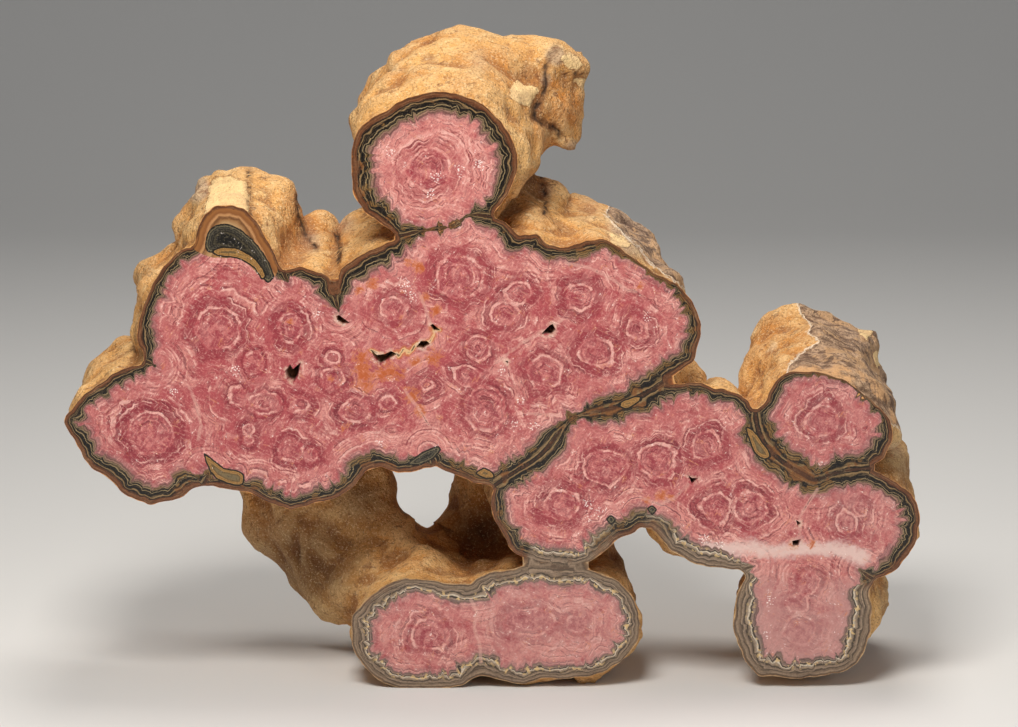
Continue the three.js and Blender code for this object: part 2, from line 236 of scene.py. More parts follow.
# %% Rim: across, down, thickness in mm, greyness, blackness
RIM = [
    (64, 421, 4.5, 0.3, 0.8), (86, 394, 4.2, 0.1, 0.9), (121, 370, 4.6, 0.1, 0.9),
    (83, 456, 5.4, 0.3, 0.8), (107, 477, 6.4, 0.2, 0.8), (136, 500, 6.4, 0.2, 0.8),
    (165, 502, 5.4, 0.2, 0.7), (190, 491, 7.4, 0.0, 0.5), (221, 488, 6.4, 0.0, 0.5),
    (248, 493, 5.0, 0.2, 0.5), (290, 509, 4.6, 0.3, 0.8), (331, 500, 4.8, 0.3, 0.6),
    (361, 477, 6.0, 0.1, 0.5), (397, 472, 5.2, 0.2, 0.5), (425, 468, 6.6, 0.2, 0.5),
    (459, 476, 4.6, 0.0, 0.2), (487, 485, 4.2, 0.0, 0.3), (140, 342, 6.2, 0.0, 0.9),
    (140, 312, 4.0, 0.1, 1.0), (154, 282, 4.0, 0.2, 1.0), (179, 251, 3.6, 0.1, 0.9),
    (225, 205, 7.0, 0.0, 0.8), (284, 271, 4.4, 0.1, 0.9), (305, 268, 4.2, 0.1, 0.9),
    (334, 290, 5.0, 0.1, 0.9), (350, 262, 7.4, 0.1, 1.0), (372, 249, 6.6, 0.1, 1.0),
    (393, 240, 4.6, 0.0, 0.9), (377, 222, 6.8, 0.0, 0.6), (355, 197, 7.4, 0.0, 0.5),
    (351, 165, 7.0, 0.1, 0.6), (362, 126, 7.2, 0.2, 0.8), (401, 101, 7.0, 0.2, 1.0),
    (444, 92, 6.8, 0.1, 1.0), (485, 105, 6.0, 0.1, 1.0), (510, 135, 6.6, 0.1, 1.0),
    (517, 165, 6.4, 0.1, 1.0), (502, 203, 5.4, 0.0, 0.8), (408, 234, 3.6, 0.0, 0.4),
    (425, 230, 1.0, 0.0, 0.3), (456, 224, 0.6, 0.0, 0.4), (467, 216, 1.0, 0.0, 0.5),
    (482, 216, 3.6, 0.0, 0.8), (519, 234, 5.4, 0.1, 0.9), (549, 245, 4.8, 0.3, 0.7),
    (586, 241, 4.8, 0.2, 0.4), (612, 244, 2.8, 0.0, 0.1), (640, 262, 1.2, 0.0, 0.0),
    (672, 281, 2.0, 0.0, 0.3), (692, 301, 3.6, 0.2, 0.3), (701, 324, 4.6, 0.2, 0.6),
    (697, 352, 5.2, 0.0, 0.7), (675, 374, 6.0, 0.0, 0.5), (650, 391, 5.6, 0.0, 0.6),
    (612, 408, 4.6, 0.0, 0.3), (573, 418, 1.8, 0.0, 0.2), (549, 446, 4.8, 0.2, 0.8),
    (520, 469, 4.4, 0.1, 0.5), (500, 482, 4.0, 0.1, 0.6), (690, 384, 3.8, 0.1, 0.6),
    (725, 389, 3.8, 0.1, 0.7), (748, 401, 4.2, 0.1, 0.9), (762, 440, 5.6, 0.0, 0.45),
    (786, 464, 5.4, 0.0, 0.2), (815, 478, 4.8, 0.0, 0.3), (850, 470, 5.2, 0.0, 0.8),
    (768, 394, 4.0, 0.1, 0.9), (785, 374, 3.2, 0.0, 0.6), (825, 373, 0.9, 0.0, 0.2),
    (862, 391, 1.0, 0.0, 0.7), (805, 371, 1.6, 0.0, 0.3), (845, 381, 0.8, 0.0, 0.4),
    (877, 405, 2.0, 0.0, 0.9), (893, 436, 4.8, 0.1, 1.0), (884, 457, 6.0, 0.1, 1.0),
    (895, 482, 5.2, 0.1, 0.9), (918, 508, 5.8, 0.1, 1.0), (915, 544, 5.6, 0.2, 0.9),
    (892, 573, 5.6, 0.2, 0.7), (871, 600, 7.0, 0.7, 0.3), (868, 640, 8.4, 0.9, 0.2),
    (840, 672, 6.4, 0.9, 0.3), (798, 678, 6.0, 0.9, 0.3), (759, 675, 7.4, 0.9, 0.2),
    (738, 643, 8.0, 1.0, 0.2), (736, 600, 7.2, 1.0, 0.2), (741, 571, 5.0, 0.9, 0.2),
    (711, 567, 6.2, 0.9, 0.4), (680, 557, 6.4, 0.9, 0.6), (654, 531, 6.0, 0.5, 0.6),
    (634, 533, 6.2, 0.3, 0.6), (607, 549, 6.8, 0.5, 0.5), (570, 567, 6.2, 0.6, 0.4),
    (521, 557, 5.4, 0.3, 0.5), (500, 528, 4.8, 0.0, 0.7), (490, 503, 4.8, 0.0, 0.7),
    (352, 630, 6.6, 0.7, 0.6), (365, 668, 6.2, 0.7, 0.4), (411, 690, 5.0, 0.8, 0.5),
    (455, 687, 5.4, 0.8, 0.4), (483, 675, 7.0, 0.8, 0.4), (510, 683, 5.0, 0.9, 0.2),
    (560, 678, 4.6, 0.9, 0.2), (610, 668, 4.6, 0.9, 0.2), (638, 635, 5.4, 1.0, 0.2),
    (630, 595, 5.0, 0.9, 0.4), (580, 569, 5.0, 0.9, 0.5), (525, 566, 5.6, 0.9, 0.5),
    (470, 585, 6.6, 0.9, 0.5), (425, 581, 4.6, 0.8, 0.5), (380, 588, 6.2, 0.6, 0.6),
    (336, 303, 2.4, 0.1, 0.9), (339, 312, 0.3, 0.1, 0.5), (285, 277, 2.4, 0.1, 0.9),
    (288, 282, 0.4, 0.1, 0.5), (148, 362, 2.6, 0.1, 0.9), (155, 366, 0.4, 0.1, 0.6),
    (868, 576, 3.0, 0.4, 0.6), (860, 570, 0.8, 0.5, 0.6), (747, 568, 2.4, 0.7, 0.4),
    (755, 566, 0.5, 0.7, 0.4), (206, 480, 5.0, 0.1, 0.5), (208, 474, 1.0, 0.1, 0.5),
    (433, 460, 4.5, 0.1, 0.5), (429, 453, 0.6, 0.1, 0.5),
]
print(len(RIM), "places on the rim")

# %% [markdown]
# Between growths that never quite met there are small hollows, cracks with rusty edges, and lenses of
# khaki stone shut in by a black line. The hollows are real depth, so their outlines go into the mesh;
# the rest is colour.

# %% Hollows, cracks and lenses, in steps of the picture
HOLLOWS = [
    [(285, 371), (290, 364), (293, 369), (301, 362), (298, 377), (294, 383), (287, 380)],
    [(336, 316), (339, 315), (350, 323), (343, 325), (337, 321)],
    [(371, 350), (377, 355), (385, 354), (391, 351), (397, 354), (388, 360), (380, 365), (374, 358)],
    [(416, 347), (421, 341), (427, 341), (430, 344), (423, 349)],
    [(430, 325), (433, 324), (440, 330), (434, 331)],
    [(541, 334), (550, 325), (553, 324), (556, 330), (552, 335)],
    [(688, 475), (692, 478), (698, 478), (692, 485)],
    [(796, 520), (801, 523), (798, 527)],
    [(792, 541), (801, 539), (799, 546), (793, 547)],
    [(505, 361), (508, 361), (508, 364)],
]
HOLLOW_DEPTH = 5.5 * MM
WHITE_STREAK = [(706, 549), (742, 548), (782, 552), (800, 548), (830, 549), (864, 557)]
RUSTY_CRACKS = [
    [(371, 350), (384, 357), (395, 352), (399, 357), (404, 348), (408, 354), (414, 347), (418, 343),
     (430, 342), (434, 335), (431, 327), (440, 330)],
]
FINE_CRACKS = [
    [(431, 327), (428, 316), (424, 304), (419, 292)],
    [(429, 425), (418, 408), (404, 390)],
    [(561, 415), (543, 415), (527, 413)],
    [(562, 320), (541, 333), (522, 343), (505, 356), (496, 363)],
    [(818, 489), (808, 503), (799, 519), (800, 531), (797, 542), (786, 549), (770, 555), (752, 559)],
    [(640, 497), (660, 505), (676, 497), (690, 482)],
    [(198, 441), (201, 425), (197, 405), (188, 386)],
    [(566, 263), (590, 268), (612, 279), (627, 290), (636, 292)],
    [(471, 600), (477, 612), (474, 628), (480, 645), (481, 662)],
]
LENSES = [
    [(212, 251), (222, 247), (236, 248), (249, 254), (259, 263), (266, 275), (262, 279), (254, 268),
     (244, 261), (232, 257), (219, 256)],
    [(204, 454), (212, 459), (224, 468), (238, 471), (244, 476), (242, 485), (229, 484), (216, 478),
     (209, 469)],
    [(617, 405), (627, 399), (638, 396), (642, 399), (636, 404), (627, 409)],
    [(746, 428), (754, 431), (764, 444), (771, 456), (764, 459), (754, 452)],
    [(494, 478), (484, 478), (476, 473), (484, 468), (492, 472)],
]
ARCH = [
    (194, 249), (197, 238), (202, 224), (212, 211), (225, 208), (243, 212), (258, 229), (269, 248),
    (276, 264), (277, 273), (268, 282), (260, 277), (252, 268), (243, 260), (232, 258), (218, 258),
    (206, 256),
]
DARK_BEDS = [
    [(205, 245), (208, 232), (216, 225), (228, 224), (240, 229), (252, 239), (262, 251), (270, 264),
     (274, 277), (268, 283), (262, 277), (256, 268), (246, 260), (232, 256), (216, 253), (208, 252)],
    [(647, 509), (652, 505), (657, 510), (652, 515)],
    [(606, 519), (611, 515), (616, 520), (611, 525)],
    [(407, 465), (414, 458), (424, 451), (437, 446), (441, 450), (433, 459), (420, 465)],
]
print(len(HOLLOWS), "hollows,", len(RUSTY_CRACKS) + len(FINE_CRACKS), "cracks,", len(LENSES), "lenses")

# %% [markdown]
# The pink isn't one pink. It is paler and duller in the low lobes, almost white in one streak, and
# rusty near the cracks; it is also painted paler at the top and darker in the left lobe, as painted light
# and shade. Painted white glints mark where broken crystal faces catch the light.

# %% Paleness: across, down, pale, dusty
# The pale column also holds painted light: the top growth is painted paler and the left lobe darker, as the
# light falls there.
TONES = [
    (430, 170, 1.0, 0.05), (150, 433, -0.45, 0.25), (218, 328, 0.05, 0.3), (290, 330, 0.05, 0.15),
    (265, 400, -0.2, 0.1), (290, 455, 0.0, 0.1), (240, 470, 0.1, 0.15), (355, 420, 0.15, 0.1),
    (391, 308, 0.30, 0.3), (459, 278, 0.35, 0.0), (440, 235, 0.6, 0.05), (520, 300, 0.25, 0.0),
    (581, 296, 0.15, 0.0), (640, 330, 0.35, 0.2), (596, 352, 0.15, 0.0), (545, 372, 0.15, 0.0),
    (485, 409, 0.30, 0.1), (470, 350, 0.25, 0.2), (470, 450, 0.6, 0.1), (562, 505, 0.3, 0.1),
    (605, 467, 0.2, 0.05), (656, 460, 0.2, 0.05), (706, 440, 0.2, 0.2), (717, 507, 0.25, 0.1),
    (750, 508, 0.3, 0.2), (700, 543, 0.6, 0.1), (765, 549, 0.5, 0.1), (822, 421, -0.25, 0.45),
    (765, 532, 0.35, 0.1), (850, 538, 0.15, 0.5), (805, 566, 0.5, 0.4), (845, 568, 0.5, 0.4),
    (770, 572, 0.55, 0.5), (848, 515, 0.1, 0.55), (800, 549, 0.5, 0.2), (838, 551, 0.5, 0.2),
    (808, 584, 0.5, 0.6), (800, 630, 0.45, 0.8), (790, 664, 0.6, 1.0), (762, 620, 0.6, 1.0),
    (850, 620, 0.5, 1.0), (768, 585, 0.4, 0.9), (845, 590, 0.4, 0.9), (430, 634, 0.4, 0.45),
    (530, 622, 0.55, 0.65), (580, 624, 0.55, 0.65), (540, 655, 0.85, 0.6), (400, 600, 0.5, 0.5),
]

# %% Rust and painted glints: across, down, reach
RUST = [
    (364, 376, 20), (384, 370, 16), (362, 358, 13), (434, 356, 14), (416, 362, 9), (398, 372, 12),
    (418, 268, 9), (408, 262, 6), (436, 312, 9), (425, 298, 8), (372, 283, 9), (358, 290, 7),
    (412, 395, 12), (420, 410, 9), (660, 496, 8), (646, 500, 6), (672, 497, 6), (330, 379, 4),
    (290, 322, 4), (345, 428, 5), (795, 545, 7), (812, 545, 6), (745, 575, 5), (640, 285, 6),
]
# Spots of painted white glints, where crystal faces catch the light.
GLINT_SPOTS = [
    (437, 176, 9), (460, 170, 9), (479, 165, 8), (430, 194, 8), (390, 152, 6), (587, 505, 9), (600, 512, 9),
    (588, 518, 6), (405, 285, 9), (412, 296, 8), (318, 315, 8), (235, 370, 8), (262, 482, 6), (520, 400, 7),
    (534, 425, 7), (705, 540, 9), (720, 545, 7), (648, 318, 6), (560, 444, 8), (770, 600, 7), (765, 635, 7),
    (175, 392, 6), (502, 370, 6), (516, 425, 8), (380, 442, 6), (822, 465, 5),
]
print(len(TONES), "tones,", len(RUST), "rusty places,", len(GLINT_SPOTS), "speckled ones")

# %% [markdown]
# ## The body of stone
# The real cluster is one stone, so one closed mesh is right for it. The plain solid gives the limbs,
# but its rim on the sawn face has straight sides. A collar with the exact outline is set over each
# group of ends, and the whole is melted together into an even skin. The collar also stands a little in
# front of the saw cut, so that the cut can be made again through clean stone.

# %% Mesh tools


def mesh_parts(mesh):
    """A mesh as two tables: places, and triangles by the numbers of their corners."""
    mesh.calc_loop_triangles()
    places = np.empty(len(mesh.vertices) * 3)
    mesh.vertices.foreach_get("co", places)
    corners = np.empty(len(mesh.loop_triangles) * 3, int)
    mesh.loop_triangles.foreach_get("vertices", corners)
    return places.reshape(-1, 3), corners.reshape(-1, 3)


def mesh_from(name, places, corners):
    """A mesh from the same two tables."""
    mesh = bpy.data.meshes.new(name)
    mesh.vertices.add(len(places))
    mesh.vertices.foreach_set("co", np.asarray(places, np.float32).ravel())
    mesh.loops.add(corners.size)
    mesh.loops.foreach_set("vertex_index", np.asarray(corners, np.int32).ravel())
    mesh.polygons.add(len(corners))
    mesh.polygons.foreach_set("loop_start", np.arange(0, corners.size, 3, dtype=np.int32))
    mesh.update(calc_edges=True)
    return mesh


def facing(places, corners):
    """The outward direction at every vertex, as a mean of its triangles weighted by their size."""
    a, b, c = (places[corners[:, k]] for k in range(3))
    normal = np.cross(b - a, c - a)
    total = np.stack(
        [np.bincount(corners.ravel(), np.repeat(normal[:, k], 3), len(places)) for k in range(3)], axis=1
    )
    return total / np.maximum(np.linalg.norm(total, axis=1, keepdims=True), 1e-12)


def outward(curve):
    """The direction that leads out of a closed curve at each of its points."""
    along = np.roll(curve, -3, axis=0) - np.roll(curve, 3, axis=0)
    sideways = np.stack([along[:, 1], -along[:, 0]], axis=1)
    sideways /= np.linalg.norm(sideways, axis=1, keepdims=True)
    area = np.sum(curve[:, 0] * np.roll(curve[:, 1], -1) - curve[:, 1] * np.roll(curve[:, 0], -1))
    return sideways if area > 0 else -sideways


def ripple(places, size, seed, stretch=(1, 1, 1), waves=28):
    """Smooth unevenness of about one size: a seeded sum of waves that run in all directions."""
    dice = np.random.default_rng(seed)
    ways = dice.normal(size=(waves, 3))
    ways /= np.linalg.norm(ways, axis=1, keepdims=True)
    ways *= dice.uniform(0.6, 1.5, (waves, 1)) * math.tau / size / np.array(stretch, float)
    return np.sin(places @ ways.T + dice.uniform(0, math.tau, waves)).sum(axis=1) / math.sqrt(waves / 2)


# %% The collars
COLLAR_FRONT = 4 * MM
COLLAR_LIP = 0.6 * MM
COLLAR_BACK = 10 * MM
COLLAR_TAPER = 3.2 * MM
SET_BACK = 2.4 * MM


def collar(curve):
    """A closed plug with the outline of one group of ends, narrower at the back where it is buried."""
    curve = curve[::2]
    back = curve - COLLAR_TAPER * outward(curve)
    rings = [(curve, -COLLAR_FRONT), (curve, COLLAR_LIP), (back, COLLAR_BACK)]
    places = np.vstack([
        np.stack([ring[:, 0], np.full(len(ring), FACE_Y + deep), ring[:, 1]], axis=1) for ring, deep in rings
    ])
    count = len(curve)
    plug = bmesh.new()
    dots = [plug.verts.new(place) for place in places]
    for level in (0, count):
        for k in range(count):
            n = (k + 1) % count
            here, beside = level + k, level + n
            plug.faces.new((dots[here], dots[here + count], dots[beside + count], dots[beside]))
    plug.faces.new(dots[:count])
    plug.faces.new(dots[2 * count:][::-1])
    bmesh.ops.recalc_face_normals(plug, faces=plug.faces)
    bmesh.ops.triangulate(plug, faces=plug.faces)
    mesh = bpy.data.meshes.new("collar")
    plug.to_mesh(mesh)
    plug.free()
    tables = mesh_parts(mesh)
    bpy.data.meshes.remove(mesh)
    return tables


solid, solid_corners = mesh_parts(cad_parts[CLUSTER].data)
solid, same = np.unique(np.round(solid, 7), axis=0, return_inverse=True)
solid_corners = same.ravel()[solid_corners]
a, b, c = (solid[solid_corners[:, k]] for k in range(3))
solid_normals = np.cross(b - a, c - a)
sides = solid_corners[np.abs(solid_normals[:, 1]) < 0.98 * np.linalg.norm(solid_normals, axis=1)]
lean = facing(solid, sides)[:, [0, 2]]
in_face = np.abs(solid[:, 1] - FACE_Y) < 0.01 * MM
solid[np.ix_(in_face, [0, 2])] -= SET_BACK * lean[in_face]
print("the plain solid:", len(solid), "vertices,", in_face.sum(), "of them on the face")

# %% Melt the limbs and the collars together
MELT_STEP = 1.6 * MM


def biggest_shell(places, corners):
    """Only the triangles of the largest connected shell, with their vertices numbered anew."""
    label = np.arange(len(places))
    pairs = np.vstack([corners[:, [0, 1]], corners[:, [1, 2]], corners[:, [2, 0]]])
    while True:
        low = np.minimum(label[pairs[:, 0]], label[pairs[:, 1]])
        after = label.copy()
        np.minimum.at(after, pairs[:, 0], low)
        np.minimum.at(after, pairs[:, 1], low)
        after = after[after]
        if np.array_equal(after, label):
            break
        label = after
    kept = np.flatnonzero(label == np.argmax(np.bincount(label)))
    number = np.full(len(places), -1)
    number[kept] = np.arange(len(kept))
    whole = corners[number[corners[:, 0]] >= 0]
    return places[kept], number[whole]


stock = [(solid, solid_corners)] + [collar(curve) for curve in outlines]
starts = np.cumsum([0] + [len(places) for places, _ in stock])
raw = mesh_from(
    "raw", np.vstack([p for p, _ in stock]), np.vstack([c + s for (_, c), s in zip(stock, starts)])
)
block = bpy.data.objects.new("block", raw)
bpy.context.scene.collection.objects.link(block)
melt = block.modifiers.new("melt", "REMESH")
melt.mode = "VOXEL"
melt.voxel_size = MELT_STEP
bpy.context.view_layer.update()
melted = block.evaluated_get(bpy.context.evaluated_depsgraph_get())
body, body_corners = biggest_shell(*mesh_parts(melted.data))
bpy.data.objects.remove(block)
bpy.data.meshes.remove(raw)
print("melted together:", len(body), "vertices,", len(body_corners), "triangles")

# %% [markdown]
# A few rounds of evening out take the steps off the melted skin. Then the crust gets its own relief:
# soft knobs a finger wide, growth wrinkles that run round each limb side by side with its rim, and a
# rougher broken end where the top stalactite snapped. Listed gouges and bulges bring the
# skin's outline nearer to the real one. All of it dies away at the saw cut, whose outline is kept
# exactly.

# %% Even out, then add the crust's relief
SMOOTHINGS = 5
# Across, down, reach in steps of the picture, and depth in mm; a minus sign stands for a bulge.
GOUGES = [
    (547, 80, 8, 1.4), (546, 89, 8, 1.8), (542, 98, 8, 2.2), (538, 107, 8, 2.4), (538, 116, 8, 2.4),
    (546, 123, 8, 2.2), (555, 128, 8, 1.8), (561, 137, 8, 1.5), (567, 106, 20, -1.5),
    (523, 94, 14, -0.6), (536, 136, 14, -1.0), (574, 152, 18, -3.6), (588, 66, 22, -1.8),
    (300, 222, 9, 1.2), (299, 200, 8, 1.2), (544, 192, 10, 1.4), (625, 236, 10, 1.0),
    (590, 212, 10, 0.8), (164, 228, 34, -5.0), (138, 275, 38, -5.0), (122, 330, 28, -3.6),
    (290, 184, 30, -3.2), (330, 212, 40, -6.0), (564, 184, 40, -5.6), (360, 110, 50, -3.0),
    (470, 28, 60, -1.6), (760, 318, 34, -3.6), (880, 334, 32, -6.0), (790, 300, 34, -6.0),
    (908, 448, 44, -5.0), (838, 308, 22, 2.0), (215, 168, 24, 1.8), (404, 529, 32, -4.8),
    (449, 531, 30, -4.2), (894, 602, 44, -3.6), (262, 532, 42, -2.6), (322, 604, 38, -2.6),
    (722, 382, 32, -5.6), (668, 256, 26, 2.2),
]


def evened(places, corners, rounds):
    """Each vertex moved to the mean of itself and its neighbours, a few times over."""
    pairs = np.vstack([corners[:, [0, 1]], corners[:, [1, 2]], corners[:, [2, 0]]])
    pairs = np.vstack([pairs, pairs[:, ::-1]])
    share = np.bincount(pairs[:, 0], minlength=len(places))
    for _ in range(rounds):
        total = np.stack(
            [np.bincount(pairs[:, 0], places[pairs[:, 1], k], len(places)) for k in range(3)], axis=1
        )
        places = 0.5 * places + 0.5 * total / share[:, None]
    return places


def near(places, across, down, reach):
    """1 at a step of the picture, falling to 0 at that many steps away from it, whatever the depth."""
    x, z = seen(across, down, places[:, 1] - FACE_Y)
    far = np.hypot(places[:, 0] - x, places[:, 2] - z) / (reach * step_mm * MM)
    return np.clip(1 - far, 0, 1) ** 2 * (3 - 2 * np.clip(1 - far, 0, 1))


body = evened(body, body_corners, SMOOTHINGS)
out = facing(body, body_corners)
gouge = sum(deep * near(body, across, down, reach) for across, down, reach, deep in GOUGES)
behind = np.clip((body[:, 1] - FACE_Y - 0.5 * MM) / (6 * MM), 0, 1)
knobs = 0.7 * ripple(body, 19 * MM, 11) + 0.32 * ripple(body, 9 * MM, 12)
warped = body + 5 * MM * np.stack([0 * knobs, ripple(body, 40 * MM, 13), 0 * knobs], axis=1)
wrinkles = ripple(warped, 6.5 * MM, 14, stretch=(4.5, 1, 4.5)) * (0.55 + 0.45 * ripple(body, 30 * MM, 15))
broken = np.maximum(near(body, 572, 105, 42), near(body, 552, 130, 30))
grit = ripple(body, 4.5 * MM, 16) + 0.8 * ripple(body, 8 * MM, 17)
relief = knobs + 0.42 * wrinkles + 0.18 * grit
relief = (1 - broken) * relief + broken * 0.34 * grit - gouge
body += (MM * behind * relief)[:, None] * out
body = evened(body, body_corners, 1)
body[:, 2] = np.maximum(body[:, 2], 0)
print("relief reaches", np.round(np.abs(relief).max(), 2), "mm")

# %% Thin the skin out where it is plain
SKIN_TRIANGLES = 95000

rough = bpy.data.objects.new("rough", mesh_from("rough", body, body_corners))
bpy.context.scene.collection.objects.link(rough)
thin = rough.modifiers.new("thin", "DECIMATE")
thin.ratio = SKIN_TRIANGLES / len(body_corners)
bpy.context.view_layer.update()
body, body_corners = mesh_parts(rough.evaluated_get(bpy.context.evaluated_depsgraph_get()).data)
bpy.data.objects.remove(rough)
print("thinned to", len(body_corners), "triangles")

# %% [markdown]
# ## The saw cut
# The saw cut is made again through the collars. The rim that it leaves is moved onto the exact outline,
# and the skin just behind follows it, less and less with depth.

# %% Cut, and bring the rim onto the outline
FOLLOWS = 7 * MM
SHORTEST_EDGE = 0.12 * MM
LONGEST_EDGE = 0.75 * MM
GUIDES = 5

cutting = bmesh.new()
cutting.from_mesh(mesh_from("cutting", body, body_corners))
everything = cutting.verts[:] + cutting.edges[:] + cutting.faces[:]
bmesh.ops.bisect_plane(
    cutting, geom=everything, dist=1e-7, plane_co=(0, FACE_Y, 0), plane_no=(0, -1, 0), clear_outer=True
)
bmesh.ops.triangulate(cutting, faces=cutting.faces)
rim_edges = [edge for edge in cutting.edges if edge.is_boundary]
short = [edge for edge in rim_edges if edge.calc_length() < SHORTEST_EDGE]
bmesh.ops.collapse(cutting, edges=short)
rim_edges = [edge for edge in cutting.edges if edge.is_boundary and edge.calc_length() > LONGEST_EDGE]
bmesh.ops.subdivide_edges(cutting, edges=rim_edges, cuts=1)
bmesh.ops.triangulate(cutting, faces=cutting.faces)
cutting.verts.index_update()
rim_pairs = np.array([[v.index for v in edge.verts] for edge in cutting.edges if edge.is_boundary])
cut_mesh = bpy.data.meshes.new("cut")
cutting.to_mesh(cut_mesh)
cutting.free()
skin, skin_corners = mesh_parts(cut_mesh)

def tree_of(dots):
    """A quick finder for the nearest of many places on the face."""
    tree = KDTree(len(dots))
    for k, (x, z) in enumerate(dots):
        tree.insert((x, 0, z), k)
    tree.balance()
    return tree

every_outline = np.vstack(outlines)
outline_tree = tree_of(every_outline)


def along_outline(x, z):
    """The nearest place on the outline, between its points too."""
    _, k, _ = outline_tree.find((x, 0, z))
    best, least = every_outline[k], 1.0
    for n in (k - 1, k):
        a, b = every_outline[n], every_outline[(n + 1) % len(every_outline)]
        run = b - a
        if run @ run > (3 * CURVE_STEP) ** 2:
            continue
        t = min(max(((x - a[0]) * run[0] + (z - a[1]) * run[1]) / (run @ run), 0), 1)
        spot = a + t * run
        gap = math.hypot(spot[0] - x, spot[1] - z)
        if gap < least:
            best, least = spot, gap
    return best


rim = np.unique(rim_pairs)
moves = np.array([along_outline(*skin[v, [0, 2]]) - skin[v, [0, 2]] for v in rim])
rim_tree = KDTree(len(rim))
for k, v in enumerate(rim):
    rim_tree.insert(skin[v], k)
rim_tree.balance()
beside = np.flatnonzero(skin[:, 1] < FACE_Y + FOLLOWS)
for v in np.setdiff1d(beside, rim):
    closest = rim_tree.find_n(skin[v], GUIDES)
    pull = np.array([1 / (gap + 0.3 * MM) for _, _, gap in closest])
    shift = pull @ moves[[k for _, k, _ in closest]] / pull.sum()
    fade = max(0, 1 - closest[0][2] / FOLLOWS)
    skin[v, [0, 2]] += fade * shift
skin[np.ix_(rim, [0, 2])] += moves
skin[rim, 1] = FACE_Y
skin[:, 2] = np.maximum(skin[:, 2], 0)
print("rim of", len(rim), "vertices moved by", np.round(np.hypot(*moves.T).mean() / MM, 2), "mm on average")

# %% [markdown]
# The face is filled with a fine, even net of triangles, finer near the rims, because the zigzag bands
# of the stone are laid down on its corners. The hollows are sunk into it as real pits.

# %% Fill the face
RIM_NET = 0.6 * MM
INNER_NET = 1.05 * MM
RIM_BELT = 9 * MM


def net(spacing, low, high):
    """Even rows of places, each row shifted by half a step, so that the triangles come out nearly equal."""
    rows = np.arange(low[1], high[1], spacing * math.sqrt(3) / 2)
    columns = np.arange(low[0], high[0], spacing)
    x, z = np.meshgrid(columns, rows)
    return np.stack([(x + spacing / 2 * (np.arange(len(rows)) % 2)[:, None]).ravel(), z.ravel()], axis=1)


def inside(places, curve):
    """Which places lie inside a closed curve."""
    hit = np.zeros(len(places), bool)
    x, z = places.T
    for (ax, az), (bx, bz) in zip(curve, np.roll(curve, -1, axis=0)):
        if az != bz:
            crosses = (az > z) != (bz > z)
            hit ^= crosses & (x < (bx - ax) * (z - az) / (bz - az) + ax)
    return hit


def from_lines(places, lines, closed):
    """How far each place is from the nearest of a few lines."""
    best = np.full(len(places), np.inf)
    for line in lines:
        ends = np.roll(line, -1, axis=0) if closed else line[1:]
        for a, b in zip(line, ends):
            run = b - a
            length = math.hypot(*run)
            t = np.clip(((places - a) @ run) / max(length**2, 1e-18), 0, 1)
            best = np.minimum(best, np.hypot(*(places - a - t[:, None] * run).T))
    return best

def signed(places, lines):
    """How deep each place is inside the nearest of a few closed lines; a minus sign is outside."""
    within = np.any([inside(places, line) for line in lines], axis=0)
    return from_lines(places, lines, True) * np.where(within, 1, -1)


low, high = every_outline.min(axis=0), every_outline.max(axis=0)
coarse_outlines = [curve[::3] for curve in outlines]
dense, sparse = net(RIM_NET, low, high), net(INNER_NET, low, high)


def kept_net(places, nearest, farthest):
    """The places of a net that are inside an outline, between two distances from it."""
    within = inside(places, coarse_outlines[0]) | inside(places, coarse_outlines[1])
    places = places[within]
    near_by = [outline_tree.find((x, 0, z))[2] for x, z in places]
    return places[(np.array(near_by) > nearest) & (np.array(near_by) <= farthest)]


hollows = [on_face(steps) for steps in HOLLOWS]
inner = np.vstack([kept_net(dense, 0.4 * MM, RIM_BELT), kept_net(sparse, RIM_BELT, 1.0)])
hollow_gap = from_lines(inner, hollows, True)
inner = inner[hollow_gap > 0.3 * MM]
number = {v: k for k, v in enumerate(rim)}
hollow_starts = np.cumsum([len(rim)] + [len(h) for h in hollows])
loops = [[(s + k, s + (k + 1) % len(h)) for k in range(len(h))] for s, h in zip(hollow_starts, hollows)]
constraints = [(number[a], number[b]) for a, b in rim_pairs] + [edge for loop in loops for edge in loop]
dots = np.vstack([skin[rim][:, [0, 2]]] + hollows + [inner])
filled = delaunay_2d_cdt([Vector(d) for d in dots], constraints, [], 1, 1e-9)
print("the face has", len(filled[0]), "corners and", len(filled[2]), "triangles;",
      len(dots), "places were asked for")

# %% Put skin, face and hollows together
flat = np.array([tuple(v) for v in filled[0]])
flat_corners = np.array(filled[2])
source = np.array([came_from[0] for came_from in filled[3]])
p, q, r = (flat[flat_corners[:, k]] for k in range(3))
turned = (q[:, 0] - p[:, 0]) * (r[:, 1] - p[:, 1]) - (q[:, 1] - p[:, 1]) * (r[:, 0] - p[:, 0]) < 0
flat_corners[turned] = flat_corners[turned][:, ::-1]
on_cut = rim[np.minimum(source, len(rim) - 1)]
face_number = np.where(source < len(rim), on_cut, source - len(rim) + len(skin))
face_corners = face_number[flat_corners]
added = np.stack([dots[len(rim):, 0], np.full(len(dots) - len(rim), FACE_Y), dots[len(rim):, 1]], axis=1)
places = np.vstack([skin, added])
centres = places[face_corners][:, :, [0, 2]].mean(axis=1)
pit_places, pit_corners, open_face = [], [], np.ones(len(face_corners), bool)
total = len(places)
